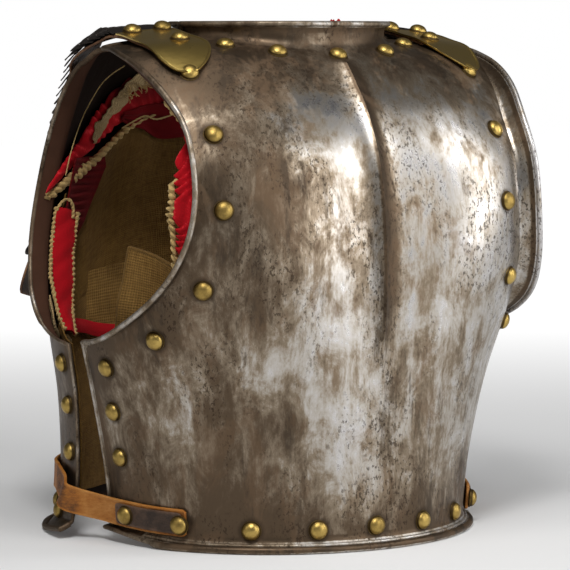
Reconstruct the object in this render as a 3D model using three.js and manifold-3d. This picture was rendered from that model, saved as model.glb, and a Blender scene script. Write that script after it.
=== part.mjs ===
// A cavalry cuirass: a steel breastplate and backplate with turned rims and brass rivets, joined over the
// shoulders by scaled leather straps with brass end plates, and round the waist by a riveted leather belt.
// Inside are canvas linings with red cloth borders and twisted cord edging.
//
// Units are millimetres. +Z is up, the chest faces -Y and the wearer's right side is at -X. The origin is on
// the ground under the middle of the waist, where the lower rims rest.
//
// Every wall is laid out on the torso: t turns round a plate from the wearer's right side (0) to the left
// side (PI), and w climbs it, one unit for each row of the plate's table.
import * as THREE from "three";
import { mergeVertices } from "three/addons/utils/BufferGeometryUtils.js";
import Module from "manifold-3d";

const wasm = await Module();
wasm.setup();

const DEGREE = Math.PI / 180;

// ---- driving dimensions -------------------------------------------------------------------------------

const COLLAR_TOP = 410; // height of the neck rim, and of the whole object
const STEEL = 1.8; // thickness of the plates
const GAP = 0.4; // clearance between pieces that lie on each other

// A plate's sections, from the waist up to the neck ring. side and mid are the heights of a section at the
// plate's side and at its middle, half is its half width and deep its depth in front of or behind the side.
const BREAST = {
  name: "breastplate",
  facing: -1,
  sections: [
    { side: 12, mid: 12, half: 155, deep: 149, square: 1 },
    { side: 60, mid: 60, half: 161, deep: 151, square: 1 },
    { side: 120, mid: 120, half: 174, deep: 154, square: 0.95 },
    { side: 180, mid: 180, half: 190, deep: 156, square: 0.82 },
    { side: 240, mid: 240, half: 200, deep: 156, square: 0.68 },
    { side: 300, mid: 297, half: 207, deep: 148, square: 0.66 },
    { side: 350, mid: 338, half: 195, deep: 131, square: 0.76 },
    { side: 380, mid: 364, half: 178, deep: 112, square: 0.84 },
    { side: 392, mid: 380, half: 158, deep: 98, square: 0.9 },
    { side: 399, mid: 389, half: 93, deep: 88, square: 1 },
  ],
  sideAngle: { waist: 1 * DEGREE, armpit: 3 * DEGREE, shoulder: 3 * DEGREE },
  armhole: { low: 2.65, top: 7.9, reach: 50 * DEGREE, skew: 1.25, flange: 16, turn: 4 },
  ridge: { high: 7, wide: 9, low: 2.4, lead: 1.2, top: 8.3, fade: 0.8 },
  hem: { drop: 12, flare: 6, rise: 10.5 },
};
const BACK = {
  name: "backplate",
  facing: 1,
  sections: [
    { side: 14, mid: 14, half: 180, deep: 152, square: 0.85 },
    { side: 50, mid: 50, half: 175, deep: 146, square: 0.8 },
    { side: 110, mid: 110, half: 177, deep: 148, square: 0.8 },
    { side: 170, mid: 170, half: 185, deep: 152, square: 0.8 },
    { side: 235, mid: 235, half: 183, deep: 160, square: 0.78 },
    { side: 296, mid: 298, half: 171, deep: 158, square: 0.78 },
    { side: 345, mid: 348, half: 160, deep: 142, square: 0.8 },
    { side: 377, mid: 382, half: 156, deep: 116, square: 0.85 },
    { side: 392, mid: 395, half: 147, deep: 94, square: 0.9 },
    { side: 399, mid: 399, half: 92, deep: 74, square: 1 },
  ],
  sideAngle: { waist: 6 * DEGREE, armpit: 4 * DEGREE, shoulder: 3 * DEGREE },
  armhole: { low: 2.75, top: 7.9, reach: 30 * DEGREE, skew: 1, flange: 12, turn: 4 },
  ridge: null,
  hem: { drop: 14, flare: 10, rise: 9 },
};

const HEM_STEPS = [0.35, 0.75, 1]; // shares of the turned lower rim
const HEM_FLAT = 0.65; // sine of the angle past which the lower rim lies flat on the ground
const WAIST_ROWS = 4; // rows of faces from the hem to the armpit
const ARMHOLE_ROWS = 10; // rows of faces along an armhole
const SHOULDER_ROWS = 2; // rows of faces from the armhole's top to the neck
const COLLAR_STEPS = [
  { up: 0.25, inward: 3.6 },
  { up: 0.65, inward: 3.8 },
  { up: 1, inward: 1 },
];
const FLANGE_STEPS = [0.35, 1]; // shares of an armhole's turned rim
const SIDE_LIP = 0.12; // share of the rim's height that is left as a lip on the sides
const RIM_START = 1.2; // how steeply an armhole's rim rises from its ends
const RIM_FOOT = 0.5; // share of the rim's turn that is kept where it stands low
const ROLL = 1.4; // how far a rim's rolled edge stands out on either face

// Rivets: a domed head on its own flat foot. places are angles in degrees from the wearer's right side and
// height places, and all but the middle ones have a twin on the left. The back's heads are one with it.
const RIVET = { radius: 7.2, high: 5, sides: 6, sunk: 1.4 };
const DOME = [[0, 0], [1, 0], [0.82, 0.56], [0.44, 0.9], [0, 1]]; // shares of radius and height
const BREAST_RIVETS = [
  { row: "neck", lift: 1.1, places: [[41, 8.68], [66, 8.56], [90, 8.5]] },
  { row: "armhole", places: [[46, 7.02], [56.5, 5.6], [59, 4.48], [48.5, 3.45], [31, 2.78]] },
  { row: "side", places: [[11, 2.36], [10.3, 1.77], [9.8, 1.16]] },
  { row: "belt", lift: 7, places: [[11.5, 0.33], [31, 0.26]] },
  { row: "hem", places: [[52, 0.18], [71.5, 0.18], [90, 0.2]] },
];
const BACK_RIVETS = [
  { row: "neck", places: [[60, 8.6], [90, 8.6]] },
  { row: "side", places: [[9.5, 2.5], [9, 1.93], [9, 1.33]] },
  { row: "hem", places: [[16.5, 0.2], [35, 0.25], [53.5, 0.25], [72, 0.25], [90, 0.25]] },
];

// The shoulder strap's middle line on the right shoulder, from its brass end on the chest over the gap to
// its loose end low on the back. lift is how far it stands off the plates and sag how far its edges drop.
const STRAP = { x: 122, width: 45, leather: 2.2, scales: 3.4, teeth: 26, from: 0.06 };
const SCALES = { from: 0.33, to: 0.93, above: 1, edge: 1 };
const STRAP_OVER = [
  { y: -84, lift: 2, sag: 0.4 },
  { y: -56, lift: 2, sag: 0.6 },
  { y: -28, lift: 4, sag: 0.6 },
  { y: 0, lift: 6.5, sag: 0.4 },
  { y: 26, lift: 6, sag: 0.8 },
];
const STRAP_DOWN = [
  { t: 33, w: 7.55, lift: 7, sag: 1.5 },
  { t: 38, w: 6.9, lift: 8, sag: 1.6 },
  { t: 42, w: 6, lift: 9, sag: 1.8 },
  { t: 44, w: 5, lift: 7, sag: 1.8 },
  { t: 44, w: 4.1, lift: 6, sag: 1.8 },
  { t: 42, w: 3.3, lift: 13, sag: 1.4 },
];
const END_PLATE = { thick: 1.4, widths: [10, 34, 44, 49, 50, 50, 49, 48], from: 0, to: 0.3 };
const END_RIVETS = [
  { at: 0.13, across: 4 },
  { at: 0.275, across: -14 },
  { at: 0.275, across: 14 },
];

// The belt's middle line, from its tab on the breastplate round the back, on the right side.
const BELT = { width: 22, thick: 3, tab: { width: 15, thick: 1.6, to: 0.24 } };
const BELT_LINE = [
  { on: "breast", t: 33, w: 0.29, lift: 1.5 },
  { on: "breast", t: 22, w: 0.31, lift: 1.5 },
  { on: "breast", t: 11, w: 0.34, lift: 1.5 },
  { on: "breast", t: 3, w: 0.42, lift: 4 },
  { on: "back", t: 5, w: 0.68, lift: 7 },
  { on: "back", t: 10, w: 0.78, lift: 4.6 },
  { on: "back", t: 17, w: 0.88, lift: 2.8 },
  { on: "back", t: 30, w: 0.9, lift: 2.6 },
  { on: "back", t: 50, w: 0.9, lift: 2.6 },
  { on: "back", t: 70, w: 0.9, lift: 2.6 },
  { on: "back", t: 84, w: 0.9, lift: 2.6 },
];
const BUCKLE = { wide: 34, high: 34, bar: 4.5, thick: 4, clear: 1 };

// The linings hang inside the plates at a depth below their faces, from height place low up to an edge that
// climbs from side to mid. margin is their distance from the plate's edges in degrees.
const CANVAS = 2;
const BREAST_LINING = { low: 0.4, side: 6.6, mid: 6.9, margin: 5, depth: 5, folds: 5, deep: 1, slack: 3 };
const BACK_LINING = { low: 0.4, side: 4.7, mid: 6.2, margin: 3, depth: 6, folds: 5, deep: 1.4, slack: 9 };
const LINING_COLUMNS = 18;
const LINING_ROWS = 6;
const FLAP = { from: 14, to: 42, low: 2.25, high: 4.1, depth: 18, belly: 5 };

// The red cloth borders of the linings, stuffed and gathered, and the cords sewn along them. offset is a
// cord's distance from the lining's edge and depth its distance inside the lining's face.
const RUFFLE = { width: 27, thick: 8, gathers: 30, gathered: 0.2, depth: 9.5 };
const BORDER = { width: 23, thick: 7, gathers: 20, gathered: 0.22, depth: 9 };
const BREAST_CORD = { radius: 2.4, offset: 37, depth: 12, steps: 44 };
const BACK_CORDS = [
  { name: "back_cord_inner", radius: 2.7, offset: -1, depth: 15.5, steps: 44 },
  { name: "back_cord_outer", radius: 1.8, offset: 27.5, depth: 9, steps: 44 },
];
const EASE = 2.2; // clearance between a lining and its border
const CLIMB = 0.3; // share of a lining's edge that climbs each armhole, the rest crossing the chest or back
const TORN_EDGE = { from: 0.24, to: 0.42, offset: 36, width: 13, thick: 2, depth: 12, ragged: 0.2 };
const FRAY_STEP = 2.3; // turn of the ragged edge from one station to the next, in radians

// The scrap of red border that stands up inside the neck rim, wider at its foot.
const NECK_SCRAP = { x: 7, y: -79, foot: 13.2, tip: 8.8, low: 384, high: 414, thick: 2, curl: 1.5, turn: 3 };

// ---- the torso ----------------------------------------------------------------------------------------

const mix = (a, b, s) => a + (b - a) * s;
const clamp = (s) => Math.min(1, Math.max(0, s));
const smooth = (s) => clamp(s) ** 2 * (3 - 2 * clamp(s));

// A column of a table at a place between its rows, on a smooth curve through them.
function between(rows, place, column) {
  const last = rows.length - 1;
  const i = Math.min(last - 1, Math.max(0, Math.floor(place)));
  const s = place - i;
  const at = (k) => rows[Math.min(last, Math.max(0, k))][column];
  const [a, b, c, d] = [at(i - 1), at(i), at(i + 1), at(i + 2)];
  return b + (s / 2) * (c - a + s * (2 * a - 5 * b + 4 * c - d + s * (3 * (b - c) + d - a)));
}

const neckRow = (plate) => plate.sections.length - 1;

// The height of a breastplate's medial ridge over the smooth chest.
function ridgeHeight(plate, x, w) {
  if (!plate.ridge) return 0;
  const { high, wide, low, lead, top, fade } = plate.ridge;
  const rise = smooth((w - low) / lead) * smooth((top - w) / fade);
  return high * rise * Math.exp(-Math.abs(x) / wide);
}

// The point of a plate's outer face at angle t and height place w.
function onPlate(plate, t, w) {
  const column = (name) => between(plate.sections, w, name);
  const across = Math.sign(Math.cos(t)) * Math.abs(Math.cos(t)) ** column("square");
  const out = Math.sign(Math.sin(t)) * Math.abs(Math.sin(t)) ** column("square");
  const x = -column("half") * across;
  const y = plate.facing * (column("deep") * out + ridgeHeight(plate, x, w));
  const z = mix(column("side"), column("mid"), Math.sin(t) ** 2);
  return new THREE.Vector3(x, y, z);
}

// The outward normal of a plate's face.
function normalOf(plate, t, w) {
  const e = 0.01;
  const round = onPlate(plate, t + e, w).sub(onPlate(plate, t - e, w));
  const up = onPlate(plate, t, Math.min(neckRow(plate), w + e)).sub(onPlate(plate, t, Math.max(0, w - e)));
  const n = round.cross(up).normalize();
  return plate.facing < 0 ? n : n.negate();
}

// How far up the armhole a height place lies, from 0 at its low end to 1 at its top.
function upArmhole(plate, w) {
  const side = (place) => between(plate.sections, place, "side");
  const { low, top } = plate.armhole;
  return clamp((side(w) - side(low)) / (side(top) - side(low)));
}

// The angle at which a plate's wall begins on the wearer's right, at height place w.
function edgeAngle(plate, w) {
  const { low, top, reach } = plate.armhole;
  const { waist, armpit, shoulder } = plate.sideAngle;
  if (w <= low) return mix(waist, armpit, w / low);
  if (w >= top) return shoulder;
  const s = upArmhole(plate, w);
  const skewed = s ** plate.armhole.skew;
  return mix(armpit, shoulder, s) + reach * Math.sqrt(4 * skewed * (1 - skewed));
}

// The height places of a plate's rows. At the sides they crowd where the armhole turns fastest, and in the
// middle they are even.
function rowPlaces(plate) {
  const { low, top } = plate.armhole;
  const places = [];
  for (let i = 0; i < WAIST_ROWS; i++) {
    const w = (low * i) / WAIST_ROWS;
    places.push({ side: w, middle: w });
  }
  for (let i = 0; i <= ARMHOLE_ROWS; i++) {
    const s = i / ARMHOLE_ROWS;
    places.push({ side: mix(low, top, (1 - Math.cos(Math.PI * s)) / 2), middle: mix(low, top, s) });
  }
  for (let i = 1; i <= SHOULDER_ROWS; i++) {
    const w = mix(top, neckRow(plate), i / SHOULDER_ROWS);
    places.push({ side: w, middle: w });
  }
  return places;
}

// The place on a plate's shoulder over a point of the ground plan, found by Newton's method.
function placeOver(plate, x, y) {
  const step = 1e-3;
  const rounds = 12;
  let t = Math.atan2(Math.abs(y), Math.abs(x));
  let w = neckRow(plate) - 1;
  for (let i = 0; i < rounds; i++) {
    const p = onPlate(plate, t, w);
    const round = onPlate(plate, t + step, w).sub(p).divideScalar(step);
    const up = onPlate(plate, t, w + step).sub(p).divideScalar(step);
    const [dx, dy] = [x - p.x, y - p.y];
    const area = round.x * up.y - round.y * up.x;
    t = Math.max(0.01, t + (dx * up.y - dy * up.x) / area);
    w = Math.min(neckRow(plate) - 2 * step, w + (round.x * dy - round.y * dx) / area);
  }
  return { t, w };
}

// ---- solids -------------------------------------------------------------------------------------------

// A closed solid from vertices and triangles.
function solidOf(points, triangles) {
  const geometry = new THREE.BufferGeometry();
  geometry.setAttribute("position", new THREE.Float32BufferAttribute(points.flatMap((p) => p.toArray()), 3));
  geometry.setIndex(triangles.flat());
  return geometry;
}

// A wall between two grids of points with the same rows and columns, closed round its four edges.
function wall(outer, inner) {
  const rows = outer.length;
  const columns = outer[0].length;
  const points = [...outer.flat(), ...inner.flat()];
  const at = (layer, i, j) => layer * rows * columns + i * columns + j;
  const triangles = [];
  const quad = (a, b, c, d) => triangles.push([a, b, c], [a, c, d]);
  for (let i = 0; i < rows - 1; i++) {
    for (let j = 0; j < columns - 1; j++) {
      quad(at(0, i, j), at(0, i, j + 1), at(0, i + 1, j + 1), at(0, i + 1, j));
      quad(at(1, i, j), at(1, i + 1, j), at(1, i + 1, j + 1), at(1, i, j + 1));
    }
  }
  for (let i = 0; i < rows - 1; i++) {
    quad(at(0, i, 0), at(0, i + 1, 0), at(1, i + 1, 0), at(1, i, 0));
    const e = columns - 1;
    quad(at(0, i + 1, e), at(0, i, e), at(1, i, e), at(1, i + 1, e));
  }
  for (let j = 0; j < columns - 1; j++) {
    quad(at(0, 0, j + 1), at(0, 0, j), at(1, 0, j), at(1, 0, j + 1));
    const e = rows - 1;
    quad(at(0, e, j), at(0, e, j + 1), at(1, e, j + 1), at(1, e, j));
  }
  return facingOut(solidOf(points, triangles));
}

// The same geometry with its faces turned outwards.
function facingOut(geometry) {
  const p = geometry.getAttribute("position");
  const index = geometry.getIndex();
  const [a, b, c] = [new THREE.Vector3(), new THREE.Vector3(), new THREE.Vector3()];
  let volume = 0;
  for (let i = 0; i < index.count; i += 3) {
    a.fromBufferAttribute(p, index.getX(i));
    b.fromBufferAttribute(p, index.getX(i + 1));
    c.fromBufferAttribute(p, index.getX(i + 2));
    volume += a.dot(b.cross(c));
  }
  if (volume < 0) geometry.setIndex(Array.from(index.array).reverse());
  return geometry;
}

// The normals of a grid of points, from its own neighbours, turned round unless forwards is true.
function gridNormals(grid, forwards) {
  return grid.map((row, i) =>
    row.map((_, j) => {
      const up = grid[Math.min(grid.length - 1, i + 1)][j].clone().sub(grid[Math.max(0, i - 1)][j]);
      const along = row[Math.min(row.length - 1, j + 1)].clone().sub(row[Math.max(0, j - 1)]);
      return forwards ? along.cross(up).normalize() : up.cross(along).normalize();
    }),
  );
}

// The same geometry with only its places, its shared corners merged, facing out.
function onlyPlaces(geometry) {
  geometry.deleteAttribute("normal");
  geometry.deleteAttribute("uv");
  return facingOut(mergeVertices(geometry, 1e-3));
}

const manifoldOf = (geometry) =>
  new wasm.Manifold(
    new wasm.Mesh({
      numProp: 3,
      vertProperties: geometry.getAttribute("position").array,
      triVerts: new Uint32Array(geometry.getIndex().array),
    }),
  );

// A geometry with others joined to it ("add") or cut from it ("subtract").
function combined(geometry, others, how) {
  let whole = manifoldOf(onlyPlaces(geometry));
  for (const other of others) whole = whole[how](manifoldOf(onlyPlaces(other)));
  const { vertProperties, triVerts } = whole.getMesh();
  const result = new THREE.BufferGeometry();
  result.setAttribute("position", new THREE.BufferAttribute(vertProperties, 3));
  result.setIndex(Array.from(triVerts));
  return result;
}

// The same geometry on the other side of the body.
function mirrored(geometry) {
  const copy = geometry.clone().scale(-1, 1, 1);
  return facingOut(copy);
}

// ---- the plates ---------------------------------------------------------------------------------------

const HALF_COLUMNS = [0, 0.12, 0.27, 0.44, 0.6, 0.75, 0.87, 0.95]; // shares of the way to the middle
const MIDDLE_FROM = 0.7; // share from which the rows are as even as in the middle

// The outer face of a plate, with its turned hem, collar and armhole rims.
function plateGrid(plate) {
  const columns = [...HALF_COLUMNS, 1, ...HALF_COLUMNS.map((c) => 2 - c).reverse()];
  const places = rowPlaces(plate);
  const grid = places.map(({ side, middle }) => {
    const edge = edgeAngle(plate, side);
    return columns.map((c) => {
      const inward = smooth(Math.min(c, 2 - c) / MIDDLE_FROM);
      return onPlate(plate, mix(edge, Math.PI - edge, c / 2), mix(side, middle, inward));
    });
  });
  const { drop, flare, rise } = plate.hem;
  const outward = (p) => new THREE.Vector3(p.x, p.y, 0).normalize();
  const lowered = (p, s) => {
    const across = Math.abs(p.y) / plate.sections[0].deep;
    const z = p.z - drop + rise * smooth((HEM_FLAT - across) / HEM_FLAT);
    return p.clone().addScaledVector(outward(p), flare * s ** 1.5).setZ(mix(p.z, z, s));
  };
  const hem = HEM_STEPS.map((s) => grid[0].map((p) => lowered(p, s))).reverse();
  const collar = COLLAR_STEPS.map(({ up, inward }) =>
    grid[grid.length - 1].map((p) =>
      p.clone().addScaledVector(outward(p), -inward).setZ(mix(p.z, COLLAR_TOP, up)),
    ),
  );
  const shares = [
    ...hem.map(() => SIDE_LIP),
    ...places.map(({ side }) => rimShare(plate, side)),
    ...collar.map(() => SIDE_LIP),
  ];
  return withRims(plate, [...hem, ...grid, ...collar], shares);
}

// How much of the armhole's turned rim stands at height place w: all of it but near the armhole's ends.
function rimShare(plate, w) {
  const s = upArmhole(plate, w);
  return mix(SIDE_LIP, 1, smooth(RIM_START * Math.sqrt(4 * s * (1 - s))));
}

// Adds the turned rim at both ends of each row, bent from the wall's own direction to its normal.
function withRims(plate, body, shares) {
  const normals = gridNormals(body, plate.facing < 0);
  const last = body[0].length - 1;
  const { flange, turn } = plate.armhole;
  const rim = (i, j, inside) => {
    const at = (k) => body[Math.min(body.length - 1, Math.max(0, k))][j];
    const along = at(i + 1).clone().sub(at(i - 1));
    const away = along.cross(normals[i][j]).normalize();
    if (away.dot(body[i][inside].clone().sub(body[i][j])) > 0) away.negate();
    const stand = (shares[i] - SIDE_LIP) / (1 - SIDE_LIP);
    return FLANGE_STEPS.map((s) =>
      body[i][j]
        .clone()
        .addScaledVector(away, turn * Math.sqrt(s) * mix(RIM_FOOT, 1, stand))
        .addScaledVector(normals[i][j], flange * s * stand),
    );
  };
  return body.map((row, i) => [...rim(i, 0, 1).reverse(), ...row, ...rim(i, last, last - 1)]);
}

// A plate's solid: the wall between its outer face and the same face moved inwards, thicker at its rolled
// edges. The lower rim ends in a level face, and so does the neck rim.
function plateSolid(plate) {
  const outer = plateGrid(plate);
  const normals = gridNormals(outer, plate.facing < 0);
  const rows = outer.length - 1;
  const columns = outer[0].length - 1;
  const face = (inwards) =>
    outer.map((row, i) =>
      row.map((p, j) => {
        const level = i === 0 || i === rows;
        const rolled = level || j === 0 || j === columns;
        const by = inwards ? -STEEL - (rolled ? ROLL : 0) : rolled ? ROLL : 0;
        const q = p.clone().addScaledVector(normals[i][j], by);
        return level ? q.setZ(p.z) : q;
      }),
    );
  return wall(face(false), face(true));
}

// ---- rivets -------------------------------------------------------------------------------------------

// A rivet's head, standing on the point with its axis along the normal.
function rivetAt(point, normal) {
  const { radius, high, sides } = RIVET;
  const head = new THREE.LatheGeometry(
    DOME.map(([r, h]) => new THREE.Vector2(r * radius, h * high)),
    sides,
  );
  const turned = new THREE.Quaternion().setFromUnitVectors(new THREE.Vector3(0, 1, 0), normal);
  return onlyPlaces(head.applyQuaternion(turned).translate(...point.toArray()));
}

// A rivet on a plate, at an angle in degrees and a height place.
function rivetOn(plate, degrees, w, lift) {
  const t = degrees * DEGREE;
  const normal = normalOf(plate, t, w);
  return rivetAt(onPlate(plate, t, w).addScaledVector(normal, lift), normal);
}

// ---- ribbons: straps, belts and their plates ------------------------------------------------------------

// A smooth line through stations {point, normal, lift, sag}, in even steps from share from to share to.
function lineThrough(stations, count, from = 0, to = 1) {
  const last = stations.length - 1;
  const column = (read) => stations.map((s) => ({ value: read(s) }));
  const columns = {
    x: column((s) => s.point.x),
    y: column((s) => s.point.y),
    z: column((s) => s.point.z),
    nx: column((s) => s.normal.x),
    ny: column((s) => s.normal.y),
    nz: column((s) => s.normal.z),
    lift: column((s) => s.lift),
    sag: column((s) => s.sag ?? 0),
  };
  const at = (name, share) => between(columns[name], mix(from, to, share) * last, "value");
  const line = [];
  for (let i = 0; i <= count; i++) {
    const share = i / count;
    const normal = new THREE.Vector3(at("nx", share), at("ny", share), at("nz", share)).normalize();
    const point = new THREE.Vector3(at("x", share), at("y", share), at("z", share));
    line.push({ point: point.addScaledVector(normal, at("lift", share)), normal, sag: at("sag", share) });
  }
  return withSides(line);
}

// Adds to each station of a line the direction across it, square to its run and its normal.
function withSides(line) {
  return line.map((station, i) => {
    const next = line[Math.min(line.length - 1, i + 1)].point;
    const run = next.clone().sub(line[Math.max(0, i - 1)].point);
    return { ...station, across: run.cross(station.normal).normalize() };
  });
}

const ACROSS = [-1, 0, 1]; // places across a ribbon, in half widths

// A flat band along a line, from height under to height over above it, sagging at its edges.
function ribbon(line, width, under, over) {
  const layer = (height) =>
    line.map((station, i) =>
      ACROSS.map((a) =>
        station.point
          .clone()
          .addScaledVector(station.across, (a * width(i)) / 2)
          .addScaledVector(station.normal, height(i) - station.sag * a * a),
      ),
    );
  return wall(layer(over), layer(under));
}

// ---- cloth bands and cords ------------------------------------------------------------------------------

// A closed solid through rings of points, with a flat end at either side.
function loft(rings) {
  const n = rings[0].length;
  const triangles = [];
  for (let i = 0; i < rings.length - 1; i++) {
    for (let k = 0; k < n; k++) {
      const [a, b] = [i * n + k, i * n + ((k + 1) % n)];
      triangles.push([a, b, b + n], [a, b + n, a + n]);
    }
  }
  const end = (rings.length - 1) * n;
  for (let k = 1; k < n - 1; k++) {
    triangles.push([0, k + 1, k], [end, end + k, end + k + 1]);
  }
  return facingOut(solidOf(rings.flat(), triangles));
}

// A round tube along a curve.
function tube(points, radius, steps) {
  const sides = 5;
  const section = new THREE.Shape(
    Array.from({ length: sides }, (_, k) => {
      const a = (2 * Math.PI * k) / sides;
      return new THREE.Vector2(radius * Math.cos(a), radius * Math.sin(a));
    }),
  );
  const curve = new THREE.CatmullRomCurve3(points, false, "centripetal");
  return onlyPlaces(new THREE.ExtrudeGeometry(section, { steps, bevelEnabled: false, extrudePath: curve }));
}

// ---- linings ------------------------------------------------------------------------------------------

// A place on a lining: share up is 0 at its lower edge and 1 at its upper one, round is 0 at the right side,
// 1 in the middle and 2 at the left side. extra is a further distance inwards.
function liningPlace(plate, lining, up, round, extra) {
  const inward = Math.sin((Math.PI * round) / 2);
  const w = mix(lining.low, mix(lining.side, lining.mid, inward), up);
  const edge = edgeAngle(plate, mix(lining.low, lining.side, up)) + lining.margin * DEGREE;
  const t = mix(edge, Math.PI - edge, round / 2);
  const fold = lining.deep * (1 - Math.cos(2 * lining.folds * t));
  const depth = lining.depth + fold + lining.slack * up ** 3 + extra;
  const normal = normalOf(plate, t, w).negate();
  return { point: onPlate(plate, t, w).addScaledVector(normal, depth), normal };
}

function liningSolid(plate, lining) {
  const layer = (extra) => {
    const rows = [];
    for (let i = 0; i <= LINING_ROWS; i++) {
      const row = [];
      for (let j = 0; j <= LINING_COLUMNS; j++) {
        row.push(liningPlace(plate, lining, i / LINING_ROWS, (2 * j) / LINING_COLUMNS, extra).point);
      }
      rows.push(row);
    }
    return rows;
  };
  return wall(layer(0), layer(CANVAS));
}

// The canvas flap inside the breastplate's lower armhole corner on the right.
function flapSolid() {
  const { from, to, low, high, depth, belly } = FLAP;
  const columns = 4;
  const layer = (extra) => {
    const rows = [];
    for (let i = 0; i <= columns; i++) {
      const row = [];
      for (let j = 0; j <= columns; j++) {
        const t = mix(from, to, j / columns) * DEGREE;
        const w = mix(low, high, i / columns);
        const inward = depth + extra + belly * Math.sin((Math.PI * j) / columns);
        row.push(onPlate(BREAST, t, w).addScaledVector(normalOf(BREAST, t, w), -inward));
      }
      rows.push(row);
    }
    return rows;
  };
  return wall(layer(0), layer(CANVAS));
}

// The edge of a lining from its right armpit over its upper edge to its left armpit, as stations with the
// direction away from the cloth. count is even.
function liningEdge(plate, lining, count) {
  const armpit = plate.armhole.low / lining.side;
  const shares = Array.from({ length: count + 1 }, (_, i) => i / count);
  const places = shares.map((share) => {
    const s = Math.min(share, 1 - share);
    const up = mix(armpit, 1, Math.min(1, s / CLIMB));
    const right = s < CLIMB ? 0 : (s - CLIMB) / (0.5 - CLIMB);
    return liningPlace(plate, lining, up, share < 0.5 ? right : 2 - right, 0);
  });
  const eased = places.map((place, i) => {
    const before = places[Math.max(0, i - 1)];
    const after = places[Math.min(count, i + 1)];
    const point = place.point.clone().multiplyScalar(2).add(before.point).add(after.point).divideScalar(4);
    return { point, normal: place.normal.clone().add(before.normal).add(after.normal).normalize() };
  });
  return withSides(eased).map((station) => ({
    ...station,
    away: plate.facing < 0 ? station.across : station.across.clone().negate(),
  }));
}

// A point beyond a lining's edge by offset and inside its face by depth.
const besideEdge = (station, offset, depth) =>
  station.point.clone().addScaledVector(station.away, offset).addScaledVector(station.normal, depth);

// A stuffed cloth border along a lining's edge, swelling between its gathers.
function borderSolid(plate, lining, border) {
  const { width, thick, gathers, gathered, depth } = border;
  const sides = 6;
  const edge = liningEdge(plate, lining, 2 * gathers);
  const rings = edge.map((station, i) => {
    const swell = 1 - (i % 2) * gathered;
    return Array.from({ length: sides }, (_, k) => {
      const a = (2 * Math.PI * (k + 0.5)) / sides;
      const out = EASE + (width / 2) * (1 + swell * Math.cos(a));
      return besideEdge(station, out, depth - lining.depth + ((thick * swell) / 2) * Math.sin(a));
    });
  });
  return loft(rings);
}

function cordAlong(plate, lining, cord) {
  const edge = liningEdge(plate, lining, cord.steps);
  const points = edge.map((station) => besideEdge(station, cord.offset, cord.depth - lining.depth));
  return tube(points, cord.radius, cord.steps);
}

// The torn strip of canvas that stands off the border by the right shoulder blade.
function tornEdge() {
  const { from, to, offset, width, thick, depth, ragged } = TORN_EDGE;
  const count = 60;
  const stations = liningEdge(BACK, BACK_LINING, count).slice(from * count, to * count + 1);
  const layer = (extra) =>
    stations.map((station, i) => {
      const wide = width * (1 - ragged + ragged * Math.cos(FRAY_STEP * i));
      return [0, wide].map((a) => besideEdge(station, offset + a, depth - BACK_LINING.depth + extra));
    });
  return wall(layer(0), layer(thick));
}

// ---- straps and belt ------------------------------------------------------------------------------------

const stationOn = (plate, t, w, station) => ({
  point: onPlate(plate, t, w),
  normal: normalOf(plate, t, w),
  lift: station.lift,
  sag: station.sag ?? 0,
});

// The right shoulder strap's line, in count steps over the part from share from to share to.
function strapLine(count, from, to) {
  const over = STRAP_OVER.map((station) => {
    const plate = station.y < 0 ? BREAST : BACK;
    const { t, w } = placeOver(plate, -STRAP.x, station.y);
    return stationOn(plate, t, w, station);
  });
  const down = STRAP_DOWN.map((station) => stationOn(BACK, station.t * DEGREE, station.w, station));
  return lineThrough([...over, ...down], count, from, to);
}

// The right half of the belt's line, in the same way.
function beltLine(count, from, to) {
  const stations = BELT_LINE.map((station) =>
    stationOn(station.on === "breast" ? BREAST : BACK, station.t * DEGREE, station.w, station),
  );
  return lineThrough(stations, count, from, to);
}

const strapSolid = () =>
  ribbon(strapLine(18, STRAP.from, 1), () => STRAP.width, () => 0, () => STRAP.leather);

const beltSolid = () => ribbon(beltLine(20, 0, 1), () => BELT.width, () => 0, () => BELT.thick);

// The darker layer on the belt's riveted tab.
function beltTabSolid() {
  const { width, thick, to } = BELT.tab;
  const low = BELT.thick + GAP;
  return ribbon(beltLine(8, 0, to), () => width, () => low, () => low + thick);
}

// The overlapping scales: each rises from the strap to its lower edge and drops to the next one.
function scalesSolid() {
  const { teeth, width, leather, scales } = STRAP;
  const line = strapLine(2 * teeth, SCALES.from, SCALES.to);
  const low = leather + SCALES.above;
  return ribbon(line, () => width, () => low, (i) => low + (i % 2 ? scales : SCALES.edge));
}

function endPlateSolid() {
  const { thick, widths, from, to } = END_PLATE;
  const line = strapLine(widths.length - 1, from, to);
  const low = STRAP.leather + SCALES.above;
  return ribbon(line, (i) => widths[i], () => low, () => low + thick);
}

// The rivets of the brass end plate, one near its tip and two over the shoulder.
function addEndRivets() {
  const count = 200;
  const line = strapLine(count, 0, 1);
  const high = STRAP.leather + SCALES.above + END_PLATE.thick + 2 * GAP;
  END_RIVETS.forEach(({ at, across }, i) => {
    const station = line[Math.round(at * count)];
    const foot = station.point
      .clone()
      .addScaledVector(station.across, across)
      .addScaledVector(station.normal, high);
    addPair(`end_rivet_${i + 1}`, rivetAt(foot, station.normal), materials.brass);
  });
}

// The belt's buckle: a square frame with a middle bar, standing on the belt's ends at the back.
function buckleSolid() {
  const { wide, high, bar, thick, clear } = BUCKLE;
  const opening = (wide - 3 * bar) / 2;
  const middle = stationOn(BACK, Math.PI / 2, BELT_LINE.at(-1).w, { lift: 0 });
  const y = middle.point.y + BELT_LINE.at(-1).lift + BELT.thick + clear + thick / 2;
  const block = (w, d, h, x) => new THREE.BoxGeometry(w, d, h).translate(x, y, middle.point.z);
  const apart = (opening + bar) / 2;
  const holes = [-apart, apart].map((x) => block(opening, 2 * thick, high - 2 * bar, x));
  return combined(block(wide, thick, high, 0), holes, "subtract");
}

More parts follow.
